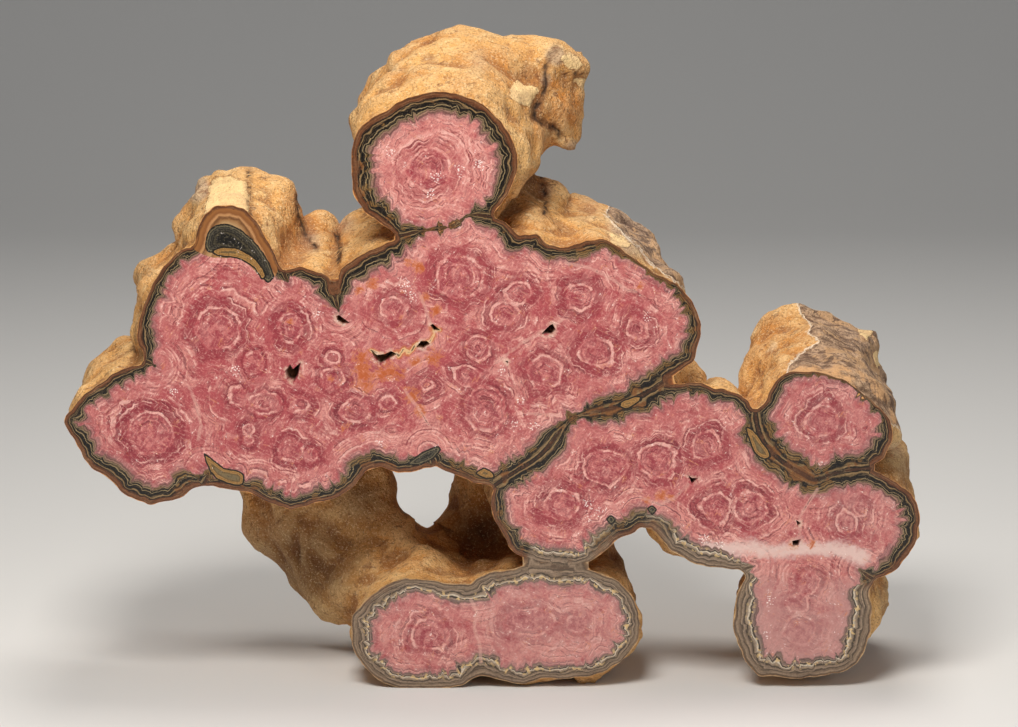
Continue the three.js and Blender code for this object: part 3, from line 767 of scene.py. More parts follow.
for start, outline in zip(hollow_starts - len(rim) + len(skin), hollows):
    floor_of = inside(centres, outline) & open_face
    open_face &= ~floor_of
    used = np.unique(np.concatenate([face_corners[floor_of].ravel(), start + np.arange(len(outline))]))
    renumber = {v: total + k for k, v in enumerate(used)}
    sunk = places[used].copy()
    middle = sunk.mean(axis=0)
    sunk += 0.3 * (middle - sunk)
    sunk[:, 1] += HOLLOW_DEPTH * (0.8 + 0.2 * ripple(sunk, 3 * MM, 21))
    pit_places.append(sunk)
    pit_corners += [[renumber[v] for v in tri] for tri in face_corners[floor_of]]
    for k in range(len(outline)):
        a, b = start + k, start + (k + 1) % len(outline)
        if np.cross(*(places[[a, b]][:, [0, 2]] - middle[[0, 2]])) < 0:
            a, b = b, a
        pit_corners += [[a, b, renumber[b]], [a, renumber[b], renumber[a]]]
    total += len(used)
places = np.vstack([places] + pit_places)
pit_corners = np.array(pit_corners)
face_corners = face_corners[open_face]
all_corners = np.vstack([skin_corners, face_corners, pit_corners])
kind = np.repeat([0, 1, 2], [len(skin_corners), len(face_corners), len(pit_corners)])
stone = bpy.data.objects.new("stone_cluster", mesh_from("stone_cluster", places, all_corners))
bpy.context.scene.collection.objects.link(stone)
stone.data.polygons.foreach_set("material_index", np.minimum(kind, 1).astype(np.int32))
stone.data.shade_smooth()
edge_ends = np.empty(len(stone.data.edges) * 2, np.int32)
stone.data.edges.foreach_get("vertices", edge_ends)
on_rim = np.zeros(len(places), bool)
on_rim[rim] = True
pit_start = hollow_starts[0] - len(rim) + len(skin)
on_rim[pit_start:hollow_starts[-1] - len(rim) + len(skin)] = True
sharp = stone.data.attributes.new("sharp_edge", "BOOLEAN", "EDGE")
sharp.data.foreach_set("value", on_rim[edge_ends.reshape(-1, 2)].all(axis=1))
print("one closed mesh of", len(all_corners), "triangles; by kind", np.bincount(kind))

# %% [markdown]
# ## The pattern of the face
# The bands of a rim follow its outline like contour lines, and the rings of a growth follow its core.
# So the pattern needs few things at each corner of the net: how far the rim is and where along it, how
# thick the rim is there, and how far the nearest growth's ring is. These are kept with the mesh and the
# finish reads them.

# %% Distances over the face
FINE_STEP = 0.1 * MM



def weighted(places, table, power, soft):
    """The columns of a hand-set table, mixed at each place by how near its rows are."""
    rows = np.array(table, float)
    spots = on_face(rows[:, :2])
    gap = np.hypot(places[:, None, 0] - spots[:, 0], places[:, None, 1] - spots[:, 1]) / MM
    # The columns of a given table, mixed at each place by how near its rows are.
    share = 1 / (gap + soft) ** power
    return (share @ rows[:, 2:]) / share.sum(axis=1, keepdims=True)


def spots_on(places, table):
    """1 in the middle of the nearest round spot of a given table, falling to 0 at its reach."""
    best = np.zeros(len(places))
    for across, down, reach in table:
        x, z = seen(across, down)
        far = np.hypot(places[:, 0] - x, places[:, 1] - z) / (reach * step_mm * MM)
        best = np.maximum(best, np.clip(1 - far**2, 0, 1))
    return best


on_the_face = np.unique(face_corners)
face = places[on_the_face][:, [0, 2]]
fine_lines = [scalloped(MAIN_OUTLINE, FINE_STEP), scalloped(LOW_OUTLINE, FINE_STEP)]
shut_in = np.concatenate([inside(fine_lines[0], outlines[1]), inside(fine_lines[1], outlines[0])])
fine_lines += [flowing(steps, False, FINE_STEP) for steps in SEAMS]
fine_rim = np.vstack(fine_lines)
shut_in = np.concatenate([shut_in, np.ones(len(fine_rim) - len(shut_in), bool)])
rim_finder = tree_of(fine_rim)
found = [rim_finder.find((x, 0, z)) for x, z in face]
rim_gap = np.array([gap for _, _, gap in found]) / MM
rim_index = np.array([k for _, k, _ in found])
rim_run = rim_index * FINE_STEP / MM
thick, grey, black = weighted(fine_rim[rim_index], RIM, 4, 1.0).T
thick *= 1.06
pale, dusty = weighted(face, TONES, 4, 3.0).T
seam_here = shut_in[rim_index].astype(float)
print("rim thickness from", np.round(thick.min(), 1), "to", np.round(thick.max(), 1), "mm")

# %% Rings round the growths
growths = np.array(GROWTHS, float)
heart = on_face(growths[:, :2])
half = growths[:, 2:4] * step_mm
away = (face[:, None] - heart) / MM
stretched = np.linalg.norm(away / half, axis=2)
mean_half = half.mean(axis=1)
plain = np.linalg.norm(away, axis=2)
beyond = plain * (1 - 1 / np.maximum(stretched, 1e-6))
ring_gap = np.where(stretched < 1, (stretched - 1) * mean_half, beyond)
own = np.argmin(ring_gap - 0.25 * growths[:, 4] * step_mm, axis=1)
each = np.arange(len(face))
ring = ring_gap[each, own]
reach = growths[own, 4] * step_mm
toward = away[each, own] / np.maximum(plain[each, own], 1e-6)[:, None]
ring_spot = np.column_stack([toward * mean_half[own, None] + 40.0 * own[:, None], 0 * ring])
print("ring distance from", np.round(ring.min(), 1), "to", np.round(ring.max(), 1), "mm")

# %% Cracks, hollows, lenses and stains
rusty_lines = [on_face(steps) for steps in RUSTY_CRACKS]
fine_cracks = [on_face(steps) for steps in FINE_CRACKS]
rusty_gap = from_lines(face, rusty_lines, False) / MM
fine_gap = from_lines(face, fine_cracks, False) / MM
white_gap = from_lines(face, [on_face(WHITE_STREAK)], False) / MM
hollow_gap = from_lines(face, hollows, True) / MM
lens, arch, beds = (
    signed(face, [flowing(steps, True) for steps in table]) / MM for table in (LENSES, [ARCH], DARK_BEDS)
)
print((lens > 0).sum(), "corners in lenses,", (arch > 0).sum(), "under the arch")

# %% Keep the pattern with the mesh
FARTHEST = 20
DEEPEST = 9


def keep(name, values, where):
    """A number for every vertex of the stone, 0 where it isn't given."""
    full = np.zeros(len(places))
    full[where] = values
    stone.data.attributes.new(name, "FLOAT", "POINT").data.foreach_set("value", full)


for name, values in {
    "rim_gap": rim_gap, "rim_run": rim_run, "rim_thick": thick, "rim_grey": grey, "rim_black": black,
    "pale": pale, "dusty": dusty, "rusty": spots_on(face, RUST), "speckled": spots_on(face, GLINT_SPOTS),
    "seam": seam_here, "ring": ring, "reach": reach, "rusty_gap": np.minimum(rusty_gap, FARTHEST),
    "fine_gap": np.minimum(fine_gap, FARTHEST), "hollow_gap": np.minimum(hollow_gap, FARTHEST),
    "white_gap": np.minimum(white_gap, FARTHEST), "lens": np.maximum(lens, -DEEPEST),
    "arch": np.maximum(arch, -DEEPEST), "beds": np.maximum(beds, -DEEPEST),
}.items():
    keep(name, values, on_the_face)
ring_spots = np.zeros((len(places), 3))
ring_spots[on_the_face] = ring_spot
kept_spots = stone.data.attributes.new("ring_spot", "FLOAT_VECTOR", "POINT")
kept_spots.data.foreach_set("vector", ring_spots.ravel())
pit_floor = np.arange(total - sum(len(p) for p in pit_places), total)
keep("sunk", 1.0, pit_floor)
print(len(stone.data.attributes), "attributes kept")

# %% [markdown]
# The crust has tones of its own: greyer and rougher on the shoulders at the top right, bare cream
# where a flake came off, and brown low down, which is partly painted shade where the underside lies in
# shadow. Hollow places are painted darker, as painted shade with some rusty dirt, and bulges paler, as
# painted highlight; a comparison of the skin with an evened copy of itself finds them.

# %% Tones of the crust: across, down, reach, amount
GREY_CRUST = [
    (556, 56, 18, 0.9), (546, 80, 12, 0.9), (572, 148, 16, 0.7), (640, 225, 55, 1.0),
    (590, 205, 36, 0.4), (860, 335, 34, 0.9), (480, 60, 30, 0.4), (395, 70, 22, 0.3),
    (310, 240, 26, 0.6), (345, 225, 24, 0.5), (196, 188, 24, 1.0), (895, 450, 20, 0.5),
    (900, 590, 30, 0.4), (545, 190, 20, 0.5),
]
CREAM_CRUST = [
    (420, 60, 30, 0.3), (240, 190, 24, 0.4), (270, 205, 22, 0.5), (775, 340, 34, 0.35),
    (525, 215, 24, 0.5), (150, 300, 16, 0.3), (330, 250, 14, 0.5), (430, 80, 12, 0.4),
]
# Brown crust, partly painted shade: the low parts and a few hollows are painted dark brown where shadow
# falls.
BROWN_AND_SHADE_CRUST = [(540, 104, 14, 0.6), (552, 128, 12, 0.6), (300, 560, 110, 0.85), (480, 530, 60, 1.0),
               (360, 500, 60, 0.85), (620, 560, 24, 0.8), (690, 378, 12, 0.5), (900, 600, 40, 0.5),
               (240, 215, 14, 0.3), (660, 270, 14, 0.6), (530, 180, 14, 0.5), (905, 470, 40, 0.6)]
RUSTY_CRUST = [
    (568, 106, 30, 1.0), (554, 84, 12, 0.8), (538, 134, 18, 0.5), (288, 200, 14, 0.4),
    (500, 70, 30, 0.3), (775, 335, 40, 0.22),
]


def crust_tone(table):
    """How much of one tone each vertex of the skin takes."""
    most = np.zeros(len(skin))
    for across, down, reach_of, amount in table:
        most = np.maximum(most, amount * near(skin, across, down, reach_of))
    return most


# %% Torn crust, as closed lines in steps of the picture
TORN = [
    [(796, 296), (800, 308), (803, 318), (812, 324), (808, 333), (822, 342), (810, 350), (800, 353),
     (792, 362), (786, 372), (800, 380), (850, 392), (900, 430), (910, 380), (890, 330), (862, 300)],
    [(606, 190), (612, 204), (606, 214), (618, 226), (628, 238), (640, 246), (650, 262), (668, 276),
     (690, 292), (700, 280), (690, 240), (650, 190)],
]
FLAKES = [
    [(212, 180), (222, 176), (248, 181), (249, 222), (241, 214), (230, 209), (220, 211), (209, 219),
     (205, 208)],
    [(511, 85), (519, 79), (526, 86), (539, 88), (535, 99), (527, 107), (517, 102), (508, 95)],
    [(560, 58), (567, 52), (578, 56), (583, 65), (577, 72), (566, 67)],
    [(572, 76), (589, 80), (588, 90), (578, 86)],
    [(858, 326), (868, 324), (874, 333), (867, 339), (859, 333)],
    [(872, 352), (880, 350), (884, 364), (877, 368)],
    [(607, 232), (622, 236), (634, 247), (624, 248), (611, 243)],
]
CREVICES = [
    [(249, 172), (249, 190), (250, 212), (254, 226)],
    [(556, 47), (549, 58), (544, 72), (546, 86), (543, 98), (536, 107), (534, 118), (544, 124),
     (556, 128), (561, 138)],
    [(566, 75), (578, 74), (590, 77)],
    [(540, 170), (543, 186), (547, 200), (545, 214)],
    [(297, 196), (298, 214), (304, 232), (316, 248)],
    [(336, 232), (340, 246), (338, 262)],
]


def in_picture(places):
    """The step of the picture at which each place is seen."""
    ahead = places - np.array(camera.location)
    level, lift = math.cos(CAMERA_RISE), math.sin(CAMERA_RISE)
    deep = ahead[:, 1] * level - ahead[:, 2] * lift
    up = ahead[:, 1] * lift + ahead[:, 2] * level
    steps = LENS_MM / SENSOR_MM * PICTURE_WIDE
    across = PICTURE_WIDE / 2 + steps * ahead[:, 0] / deep
    down = PICTURE_TALL / 2 - steps * up / deep
    return np.stack([across, down], axis=1)


skin_seen = in_picture(skin)
skin_out = facing(skin, skin_corners)
skin_all = np.arange(len(skin))
to_camera = np.array(camera.location) - skin
to_camera /= np.linalg.norm(to_camera, axis=1)[:, None]
EDGE_FADE = 12
turned = np.einsum("ij,ij->i", skin_out, to_camera) * EDGE_FADE
behind_cut = (skin[:, 1] - FACE_Y) / MM
PATCH_DEPTH = 62
DENT_ROUNDS = 14


def patch_of(table):
    """How far inside a patch of the crust each vertex is, in mm, on the side that the camera sees."""
    gap = signed(skin_seen, [np.array(line, float) for line in table]) * step_mm
    return np.clip(np.minimum(gap, np.minimum(turned, PATCH_DEPTH - behind_cut)), -DEEPEST, DEEPEST)


crevice = from_lines(skin_seen, [np.array(line, float) for line in CREVICES], False) * step_mm
crevice = np.where(turned > 0, np.minimum(crevice, DEEPEST), DEEPEST)
# How hollow each vertex is: hollows get painted shade with some rusty dirt, bulges a painted highlight.
dent = np.einsum("ij,ij->i", evened(skin, skin_corners, DENT_ROUNDS) - skin, skin_out) / MM
dent[rim] = 0
keep("dent", np.clip(dent, -1.5, 1.5), skin_all)
keep("torn", patch_of(TORN), skin_all)
keep("flake", patch_of(FLAKES), skin_all)
keep("crevice", crevice, skin_all)
keep("grey_crust", crust_tone(GREY_CRUST), skin_all)
keep("cream_crust", crust_tone(CREAM_CRUST), skin_all)
keep("brown_crust", crust_tone(BROWN_AND_SHADE_CRUST), skin_all)
keep("rusty_crust", crust_tone(RUSTY_CRUST), skin_all)
print("dents from", np.round(dent.min(), 2), "to", np.round(dent.max(), 2), "mm")

# %% [markdown]
# ## A way to write a finish
# A finish is a sum of many small rules, which are easier to read as sums than as boxes and strings. A wire
# stands for one socket, and adding or multiplying wires places the nodes that work it out.

# %% Wires


class Wire:
    """One socket of a shader node. Sums written with wires place the nodes that work them out."""

    sheet = None

    def __init__(self, socket):
        self.socket = socket

    @staticmethod
    def node(kind, settings=None, sockets=None, out=0):
        """Places any node: its settings first, then the values and wires of its sockets."""
        placed = Wire.sheet.nodes.new(kind)
        for name, value in (settings or {}).items():
            if name == "stops":
                Wire.lay_stops(placed.color_ramp.elements, value)
            else:
                setattr(placed, name, value)
        for name, value in (sockets or {}).items():
            if isinstance(value, Wire):
                Wire.sheet.links.new(value.socket, placed.inputs[name])
            else:
                placed.inputs[name].default_value = value
        return Wire(placed.outputs[out])

    @staticmethod
    def lay_stops(steps, stops):
        """Gives a colour ramp its stops, as places from 0 to 1 with their colours."""
        while len(steps) < len(stops):
            steps.new(0.5)
        for step, (at, _) in zip(steps, stops):
            step.position = at
        for step, (_, shade) in zip(steps, stops):
            step.color = shade

    @staticmethod
    def sum(operation, *terms):
        """A sum of numbers, or of vectors when one of its terms is a vector."""
        vectors = any(isinstance(t, Wire) and t.socket.type == "VECTOR" for t in terms)
        kind = "ShaderNodeVectorMath" if vectors else "ShaderNodeMath"
        if vectors:
            terms = [t if isinstance(t, (Wire, tuple)) else (t, t, t) for t in terms]
        return Wire.node(kind, {"operation": operation}, dict(enumerate(terms)))

    def __add__(self, other):
        return Wire.sum("ADD", self, other)

    def __radd__(self, other):
        return Wire.sum("ADD", other, self)

    def __sub__(self, other):
        return Wire.sum("SUBTRACT", self, other)

    def __rsub__(self, other):
        return Wire.sum("SUBTRACT", other, self)

    def __mul__(self, other):
        return Wire.sum("MULTIPLY", self, other)

    def __rmul__(self, other):
        return Wire.sum("MULTIPLY", other, self)

    def __truediv__(self, other):
        return Wire.sum("DIVIDE", self, other)

    def __rtruediv__(self, other):
        return Wire.sum("DIVIDE", other, self)

    def least(self, other):
        return Wire.sum("MINIMUM", self, other)

    def most(self, other):
        return Wire.sum("MAXIMUM", self, other)


def colour(red, green, blue):
    """A colour as it is read off a picture, 0 to 255, made linear."""
    parts = [v / 255 for v in (red, green, blue)]
    return tuple(v / 12.92 if v <= 0.04045 else ((v + 0.055) / 1.055) ** 2.4 for v in parts) + (1,)


def field(name):
    """A number kept with the mesh."""
    return Wire.node("ShaderNodeAttribute", {"attribute_name": name}, out="Fac")


def rise(value, low, high):
    """0 below the low number, 1 above the high one, and a soft slope between."""
    settings = {"interpolation_type": "SMOOTHSTEP"}
    return Wire.node("ShaderNodeMapRange", settings, {0: value, 1: low, 2: high})


def bump_between(value, low, top, high):
    """Rises from 0 at the low number to 1 at the top one and falls back to 0 at the high one."""
    return rise(value, low, top) * (1 - rise(value, top, high))


def blend(share, first, second):
    """The first colour, turned into the second by a share from 0 to 1."""
    return Wire.node("ShaderNodeMix", {"data_type": "RGBA"}, {0: share, 6: first, 7: second}, out=2)


def cloud(where, size, detail=2.0, rough=0.5, turns="3D"):
    """Soft noise around 0.5, with spots of about one size, in the unit of the place given."""
    place = "W" if turns == "1D" else "Vector"
    sockets = {place: where, "Scale": 1 / size, "Detail": detail, "Roughness": rough}
    return Wire.node("ShaderNodeTexNoise", {"noise_dimensions": turns}, sockets)


def cells(where, size, out="Distance", scatter=1.0, turns="3D"):
    """Cells of about one size: how far their middle is, or a colour of their own."""
    place = "W" if turns == "1D" else "Vector"
    sockets = {place: where, "Scale": 1 / size, "Randomness": scatter}
    return Wire.node("ShaderNodeTexVoronoi", {"voronoi_dimensions": turns}, sockets, out)


def ramp(value, stops):
    """A colour for each number from 0 to 1, through the stops given."""
    return Wire.node("ShaderNodeValToRGB", {"stops": stops}, {"Fac": value})


def new_finish(name):
    """An empty finish, with its shader and its output."""
    material = bpy.data.materials.new(name)
    material.use_nodes = True
    Wire.sheet = material.node_tree
    stone.data.materials.append(material)
    return material.node_tree.nodes["Principled BSDF"]


def feed(shader, name, wire):
    """Joins a wire to one socket of a finish's shader."""
    Wire.sheet.links.new(wire.socket, shader.inputs[name])


print("wires ready")

# %% [markdown]
# ## The crust
# The outside is a dull limonite crust: ochre on the whole, cream where it flaked, grey-lavender where
# manganese dust clings, and rusty brown in the hollows, which is partly painted shade. Raised knobs and
# wrinkles are painted paler and their troughs and crevices darker, as painted highlight and shade. Fine
# wrinkles run round each stalactite, because the crust grew in pulses, and a sandy grain covers
# everything. Noise makes all of these, and the listed tones steer it.

# %% Noise for the crust
crust = new_finish("crust")
spot = Wire.node("ShaderNodeTexCoord", out="Object") * 1000
drift = cloud(spot, 26)
patch = cloud(spot + (40, 0, 9), 10, 3, 0.65)
lump = cloud(spot, 3.4, 3, 0.65)
grain = cloud(spot, 0.8, 2, 0.8)
wrinkle = cloud(spot * (0.4, 1.0, 0.4) + drift * 8, 2.0, 2, 0.6)
behind_face = Wire.node("ShaderNodeSeparateXYZ", sockets={0: spot}, out="Y") - FACE_Y / MM

# %% Colours of the crust
# Hollows painted darker, as painted shade with some rusty dirt; crests painted paler, as painted highlight.
dent_dirt_and_shade = rise(field("dent"), 0.05, 0.55)
crest_highlight = rise(0 - field("dent"), 0.05, 0.6)
greyed = (field("grey_crust") * 1.15 + (drift - 0.5) * 0.55).least(1)
creamed = field("cream_crust") * 1.2 + (patch - 0.62) * 3
tone = blend(rise(drift, 0.35, 0.65), colour(206, 142, 72), colour(227, 170, 98))
tone = blend(rise(patch, 0.5, 0.6) * 0.5, tone, colour(234, 192, 132))
tone = blend(rise(greyed, 0.15, 0.75) * 0.75, tone, colour(170, 146, 128))
tone = blend(rise(creamed, 0.25, 0.5) * 0.7, tone, colour(242, 214, 170))
tone = blend(field("rusty_crust") * 0.9, tone, colour(214, 132, 50))
# Raised lumps painted paler and low ones darker: painted highlight and shade that follow the relief.
tone = blend(rise(lump, 0.55, 0.7) * 0.4, tone, colour(246, 212, 160))
tone = blend(rise(0 - lump, -0.42, -0.3) * 0.4, tone, colour(170, 110, 60))
tone = blend(dent_dirt_and_shade * 0.6, tone, colour(150, 92, 44))
# Brown that is darkest low down: partly painted shade where the underside lies in shadow.
tone = blend(field("brown_crust") * 0.85, tone, colour(86, 52, 32))
tone = blend(crest_highlight * 0.25, tone, colour(236, 202, 148))
# Troughs of the wrinkles painted darker: painted shade.
tone = blend(rise(0 - wrinkle, -0.42, -0.32) * rise(lump, 0.38, 0.55) * 0.65, tone, colour(134, 84, 46))
tone = blend(rise(grain, 0.54, 0.68) * 0.6, tone, colour(124, 82, 52))
tone = blend(rise(0 - grain, -0.45, -0.31) * 0.5, tone, colour(252, 224, 178))
flake_line = (patch - 0.53).most(0.53 - patch)
tone = blend((1 - rise(flake_line, 0.003, 0.014)) * rise(lump, 0.42, 0.55) * 0.5, tone, colour(112, 74, 46))

# %% [markdown]
# In two places at the upper right the crust is torn off: the bare stone under it is grey-brown with short
# streaks, and the torn edge is pale. A few flakes are bare too, and crevices run between the knobs,
# painted dark inside as painted shadow.

# %% Torn crust, flakes and crevices
torn_by = field("torn") + (lump - 0.5) * 4
bare = rise(torn_by, -0.15, 0.15)
# Bare stone streaked paler on the wrinkles and darker between them, partly painted shade; low lumps get
# painted shade.
bare_tone = blend(rise(wrinkle, 0.36, 0.62), colour(104, 78, 62), colour(190, 156, 126))
bare_tone = blend(rise(grain, 0.5, 0.64) * 0.7, bare_tone, colour(80, 58, 46))
bare_tone = blend(rise(0 - lump, -0.47, -0.36) * 0.5, bare_tone, colour(76, 56, 46))
bare_tone = blend(rise(patch + (lump - 0.5) * 0.5, 0.5, 0.56) * 0.65, bare_tone, colour(204, 160, 116))
near_rim = (1 - rise(behind_face, 2, 11)) * rise(patch + (lump - 0.5) * 0.4, 0.4, 0.55)
bare_tone = blend(near_rim * 0.75, bare_tone, colour(222, 168, 116))
tone = blend(bare * 0.92, tone, bare_tone)
tone = blend(bump_between(torn_by, -0.8, -0.15, 0.2) * 0.75, tone, colour(246, 228, 204))
flake_by = field("flake") + (lump - 0.5) * 3.5
flake_spread = rise(patch + (grain - 0.5) * 0.4, 0.4, 0.65)
flake_tone = blend(flake_spread, colour(248, 212, 152), colour(226, 188, 136))
tone = blend(rise(flake_by, -0.1, 0.1) * 0.85, tone, flake_tone)
tone = blend(bump_between(flake_by, -0.6, -0.15, 0.1) * 0.5, tone, colour(140, 92, 54))
# Inside the crevices, painted shadow: dark brown, then near black along the line.
crevice_shadow_by = field("crevice") + (lump - 0.5) * 1.5
tone = blend((1 - rise(crevice_shadow_by, 0.4, 2.2)) * 0.5, tone, colour(110, 70, 42))
tone = blend((1 - rise(crevice_shadow_by, 0.2, 0.8)) * 0.85, tone, colour(48, 31, 21))
feed(crust, "Base Color", tone)
feed(crust, "Roughness", 0.74 + grain * 0.2)
print("crust has", len(Wire.sheet.nodes), "nodes")

# %% Relief too fine for the mesh
height = wrinkle * 0.75 + grain * 0.8 + lump * 1.4 + rise(field("flake"), -0.1, 0.2) * 0.25
height = height - rise(field("torn"), -0.2, 0.2) * 0.5 - (1 - rise(field("crevice"), 0.1, 1.1)) * 1.1
shape = Wire.node("ShaderNodeBump", sockets={"Strength": 0.85, "Distance": 1.25 * MM, "Height": height})
feed(crust, "Normal", shape)

# %% [markdown]
# ## The polished face
# From the rim inwards the stone changes from brown to khaki and black, and then to pink. The outer
# bands are smooth and the inner ones zigzag, because crystals grew into them with pointed ends. So the
# distance from the rim is disturbed by uneven teeth along it, more and more with depth, and a list of
# colours is read at it.

# %% Places on the face
polished = new_finish("polished")
spot = Wire.node("ShaderNodeTexCoord", out="Object") * 1000
across = Wire.node("ShaderNodeSeparateXYZ", sockets={0: spot}, out="X")
upward = Wire.node("ShaderNodeSeparateXYZ", sockets={0: spot}, out="Z")


def pair(first, second):
    """Two numbers as one place, for noise in a plane."""
    return Wire.node("ShaderNodeCombineXYZ", sockets={0: first, 1: second})


flat_spot = pair(across, upward)


def flecks(size, detail=2.0, rough=0.5, at=flat_spot):
    """Soft noise in the plane of the face, which is quicker than noise in the round."""
    return cloud(at, size, detail, rough, "2D")


# %% Distances with teeth
gap = field("rim_gap")
run = field("rim_run")
thickness = field("rim_thick")
place_in_rim = gap / thickness
waver = flecks(2.2, 2, 0.6) - 0.5
vigour = 0.3 + rise(flecks(13, 0), 0.35, 0.65) * 0.9
big_teeth = (cells(run, 4.4, turns="1D", scatter=0.85) - 0.25) * 4.6
small_teeth = (cells(run, 1.5, turns="1D", scatter=0.9) - 0.25) * 1.7
depth_share = rise(place_in_rim, 0.25, 1.1)
calm = 1 - rise(gap - thickness, 6, 14)
zigzag = (big_teeth + small_teeth) * vigour * depth_share * calm
toothed_gap = gap + zigzag + waver * rise(gap, 0.2, 1.5) * 0.6
rim_place = toothed_gap / thickness
into_pink = toothed_gap - thickness

# %% Rim colours, from the outside in
WARM_RIM = [
    (0.00, (222, 164, 102)), (0.022, (146, 84, 44)), (0.05, (86, 50, 28)), (0.13, (120, 76, 48)),
    (0.20, (104, 58, 32)), (0.27, (62, 36, 22)), (0.30, (13, 11, 9)), (0.325, (18, 15, 12)),
    (0.345, (150, 120, 82)), (0.39, (112, 90, 58)), (0.41, (6, 5, 5)), (0.60, (8, 7, 7)),
    (0.618, (176, 154, 116)), (0.64, (136, 116, 80)), (0.66, (6, 5, 5)), (0.74, (12, 10, 9)),
    (0.76, (150, 128, 96)), (0.81, (92, 72, 54)), (0.87, (160, 122, 106)), (0.93, (108, 70, 66)),
    (1.00, (140, 96, 90)),
]
BROWN_RIM = [
    (0.00, (220, 164, 102)), (0.035, (150, 86, 44)), (0.09, (88, 52, 30)), (0.18, (124, 82, 52)),
    (0.28, (82, 46, 26)), (0.36, (136, 88, 46)), (0.43, (56, 36, 22)), (0.47, (34, 23, 16)),
    (0.50, (134, 98, 52)), (0.60, (78, 56, 30)), (0.66, (146, 112, 64)), (0.71, (30, 24, 16)),
    (0.76, (42, 32, 22)), (0.79, (150, 118, 78)), (0.87, (86, 64, 42)), (0.92, (146, 108, 90)),
    (1.00, (134, 90, 82)),
]
COOL_RIM = [
    (0.00, (206, 172, 128)), (0.045, (132, 100, 72)), (0.09, (84, 66, 52)), (0.16, (150, 128, 106)),
    (0.26, (122, 102, 84)), (0.33, (80, 66, 54)), (0.36, (158, 136, 114)), (0.46, (124, 104, 88)),
    (0.50, (66, 56, 48)), (0.545, (76, 66, 56)), (0.57, (140, 120, 100)), (0.66, (160, 140, 120)),
    (0.70, (220, 206, 184)), (0.735, (198, 182, 160)), (0.755, (50, 42, 36)), (0.80, (76, 64, 56)),
    (0.83, (152, 128, 116)), (0.92, (116, 92, 86)), (1.00, (158, 116, 110)),
]


def banded(stops, at):
    """The colours of a list of bands, read at a wire."""
    return ramp(at, [(place, colour(*shade)) for place, shade in stops])


seam = field("seam")
blotch = flecks(4.5, 2, 0.6)
swell = (cloud(run, 8, 1, turns="1D") - 0.5) * bump_between(rim_place, 0.15, 0.55, 1.0)
shifted = rim_place + seam * (1 - rise(rim_place, 0, 0.6)) * 0.2 + swell * 0.55 + (blotch - 0.5) * 0.1
blacks = rise(field("rim_black") + (blotch - 0.5) * 2.4, 0.3, 0.5)
greys = rise(field("rim_grey") + (blotch - 0.5) * 0.3, 0.3, 0.7)
warm_side = blend(blacks, banded(BROWN_RIM, shifted), banded(WARM_RIM, shifted))
rim_tone = blend(greys, warm_side, banded(COOL_RIM, shifted))
fine_bands = flecks(1, 2, at=pair(toothed_gap * 2.6, run * 0.1))
rim_tone = blend(rise(fine_bands, 0.58, 0.7) * 0.2, rim_tone, colour(196, 162, 120))
rim_tone = blend(rise(0 - fine_bands, -0.46, -0.32) * 0.5, rim_tone, colour(40, 29, 22))
rim_tone = blend(seam * (1 - rise(gap, 0.15, 0.6)) * 0.6, rim_tone, colour(58, 36, 22))
dust = flecks(0.75, 2, 0.75)
rim_tone = blend(rise(dust, 0.54, 0.72) * 0.4, rim_tone, colour(58, 44, 32))
rim_tone = blend(rise(0 - dust, -0.4, -0.28) * 0.12, rim_tone, colour(204, 174, 136))
nubs = rise(flecks(1.5, 1), 0.6, 0.64) * bump_between(rim_place, 0.4, 0.7, 1.0)
rim_tone = blend(nubs * rise(field("rim_grey"), 0.3, 0.8) * 0.85, rim_tone, colour(222, 188, 130))
print("rim lists of", len(WARM_RIM), len(BROWN_RIM), len(COOL_RIM), "colours")

# %% [markdown]
# The arch over the left group is an older, thicker set of bands: rusty brown outside, then black beds in a
# crescent, and under them a small ochre dome. Other ochre lenses are shut in between limbs.

# %% Arch and dark beds
ARCH_BANDS = [
    (0.00, (190, 124, 66)), (0.03, (96, 56, 28)), (0.07, (152, 98, 52)), (0.13, (132, 82, 44)),
    (0.17, (192, 140, 92)), (0.21, (104, 66, 38)), (0.25, (152, 108, 66)), (0.33, (186, 150, 106)),
    (0.37, (132, 92, 54)), (0.42, (170, 124, 76)), (0.60, (110, 84, 52)), (1.00, (66, 52, 36)),
]
BED_TONES = [
    (0.00, (16, 13, 10)), (0.12, (24, 20, 16)), (0.20, (120, 108, 82)), (0.27, (30, 27, 22)),
    (0.40, (78, 72, 60)), (0.47, (18, 16, 14)), (0.60, (64, 58, 48)), (0.68, (14, 12, 10)),
    (0.82, (70, 62, 46)), (1.00, (20, 17, 14)),
]
arch_in = field("arch")
arch_tone = banded(ARCH_BANDS, (gap + waver * 0.9 + (fine_bands - 0.5) * 0.8) / 19.5)
beds_in = field("beds") + waver * 0.5
bed_tone = banded(BED_TONES, (beds_in + (dust - 0.5) * 0.6) / 3.6)
bed_tone = blend(rise(0 - dust, -0.44, -0.3) * 0.4, bed_tone, colour(136, 124, 100))

# %% [markdown]
# Inside the rim the pink stone grew in pulses. Each pulse starts rose and ends pale, with a pointed
# edge. Beside the rim the pulses run along it; round each growth they run round a pale ring in a belt
# of deep rose. A ramp of greys stands for the pulses, where middle grey leaves the stone as it is.

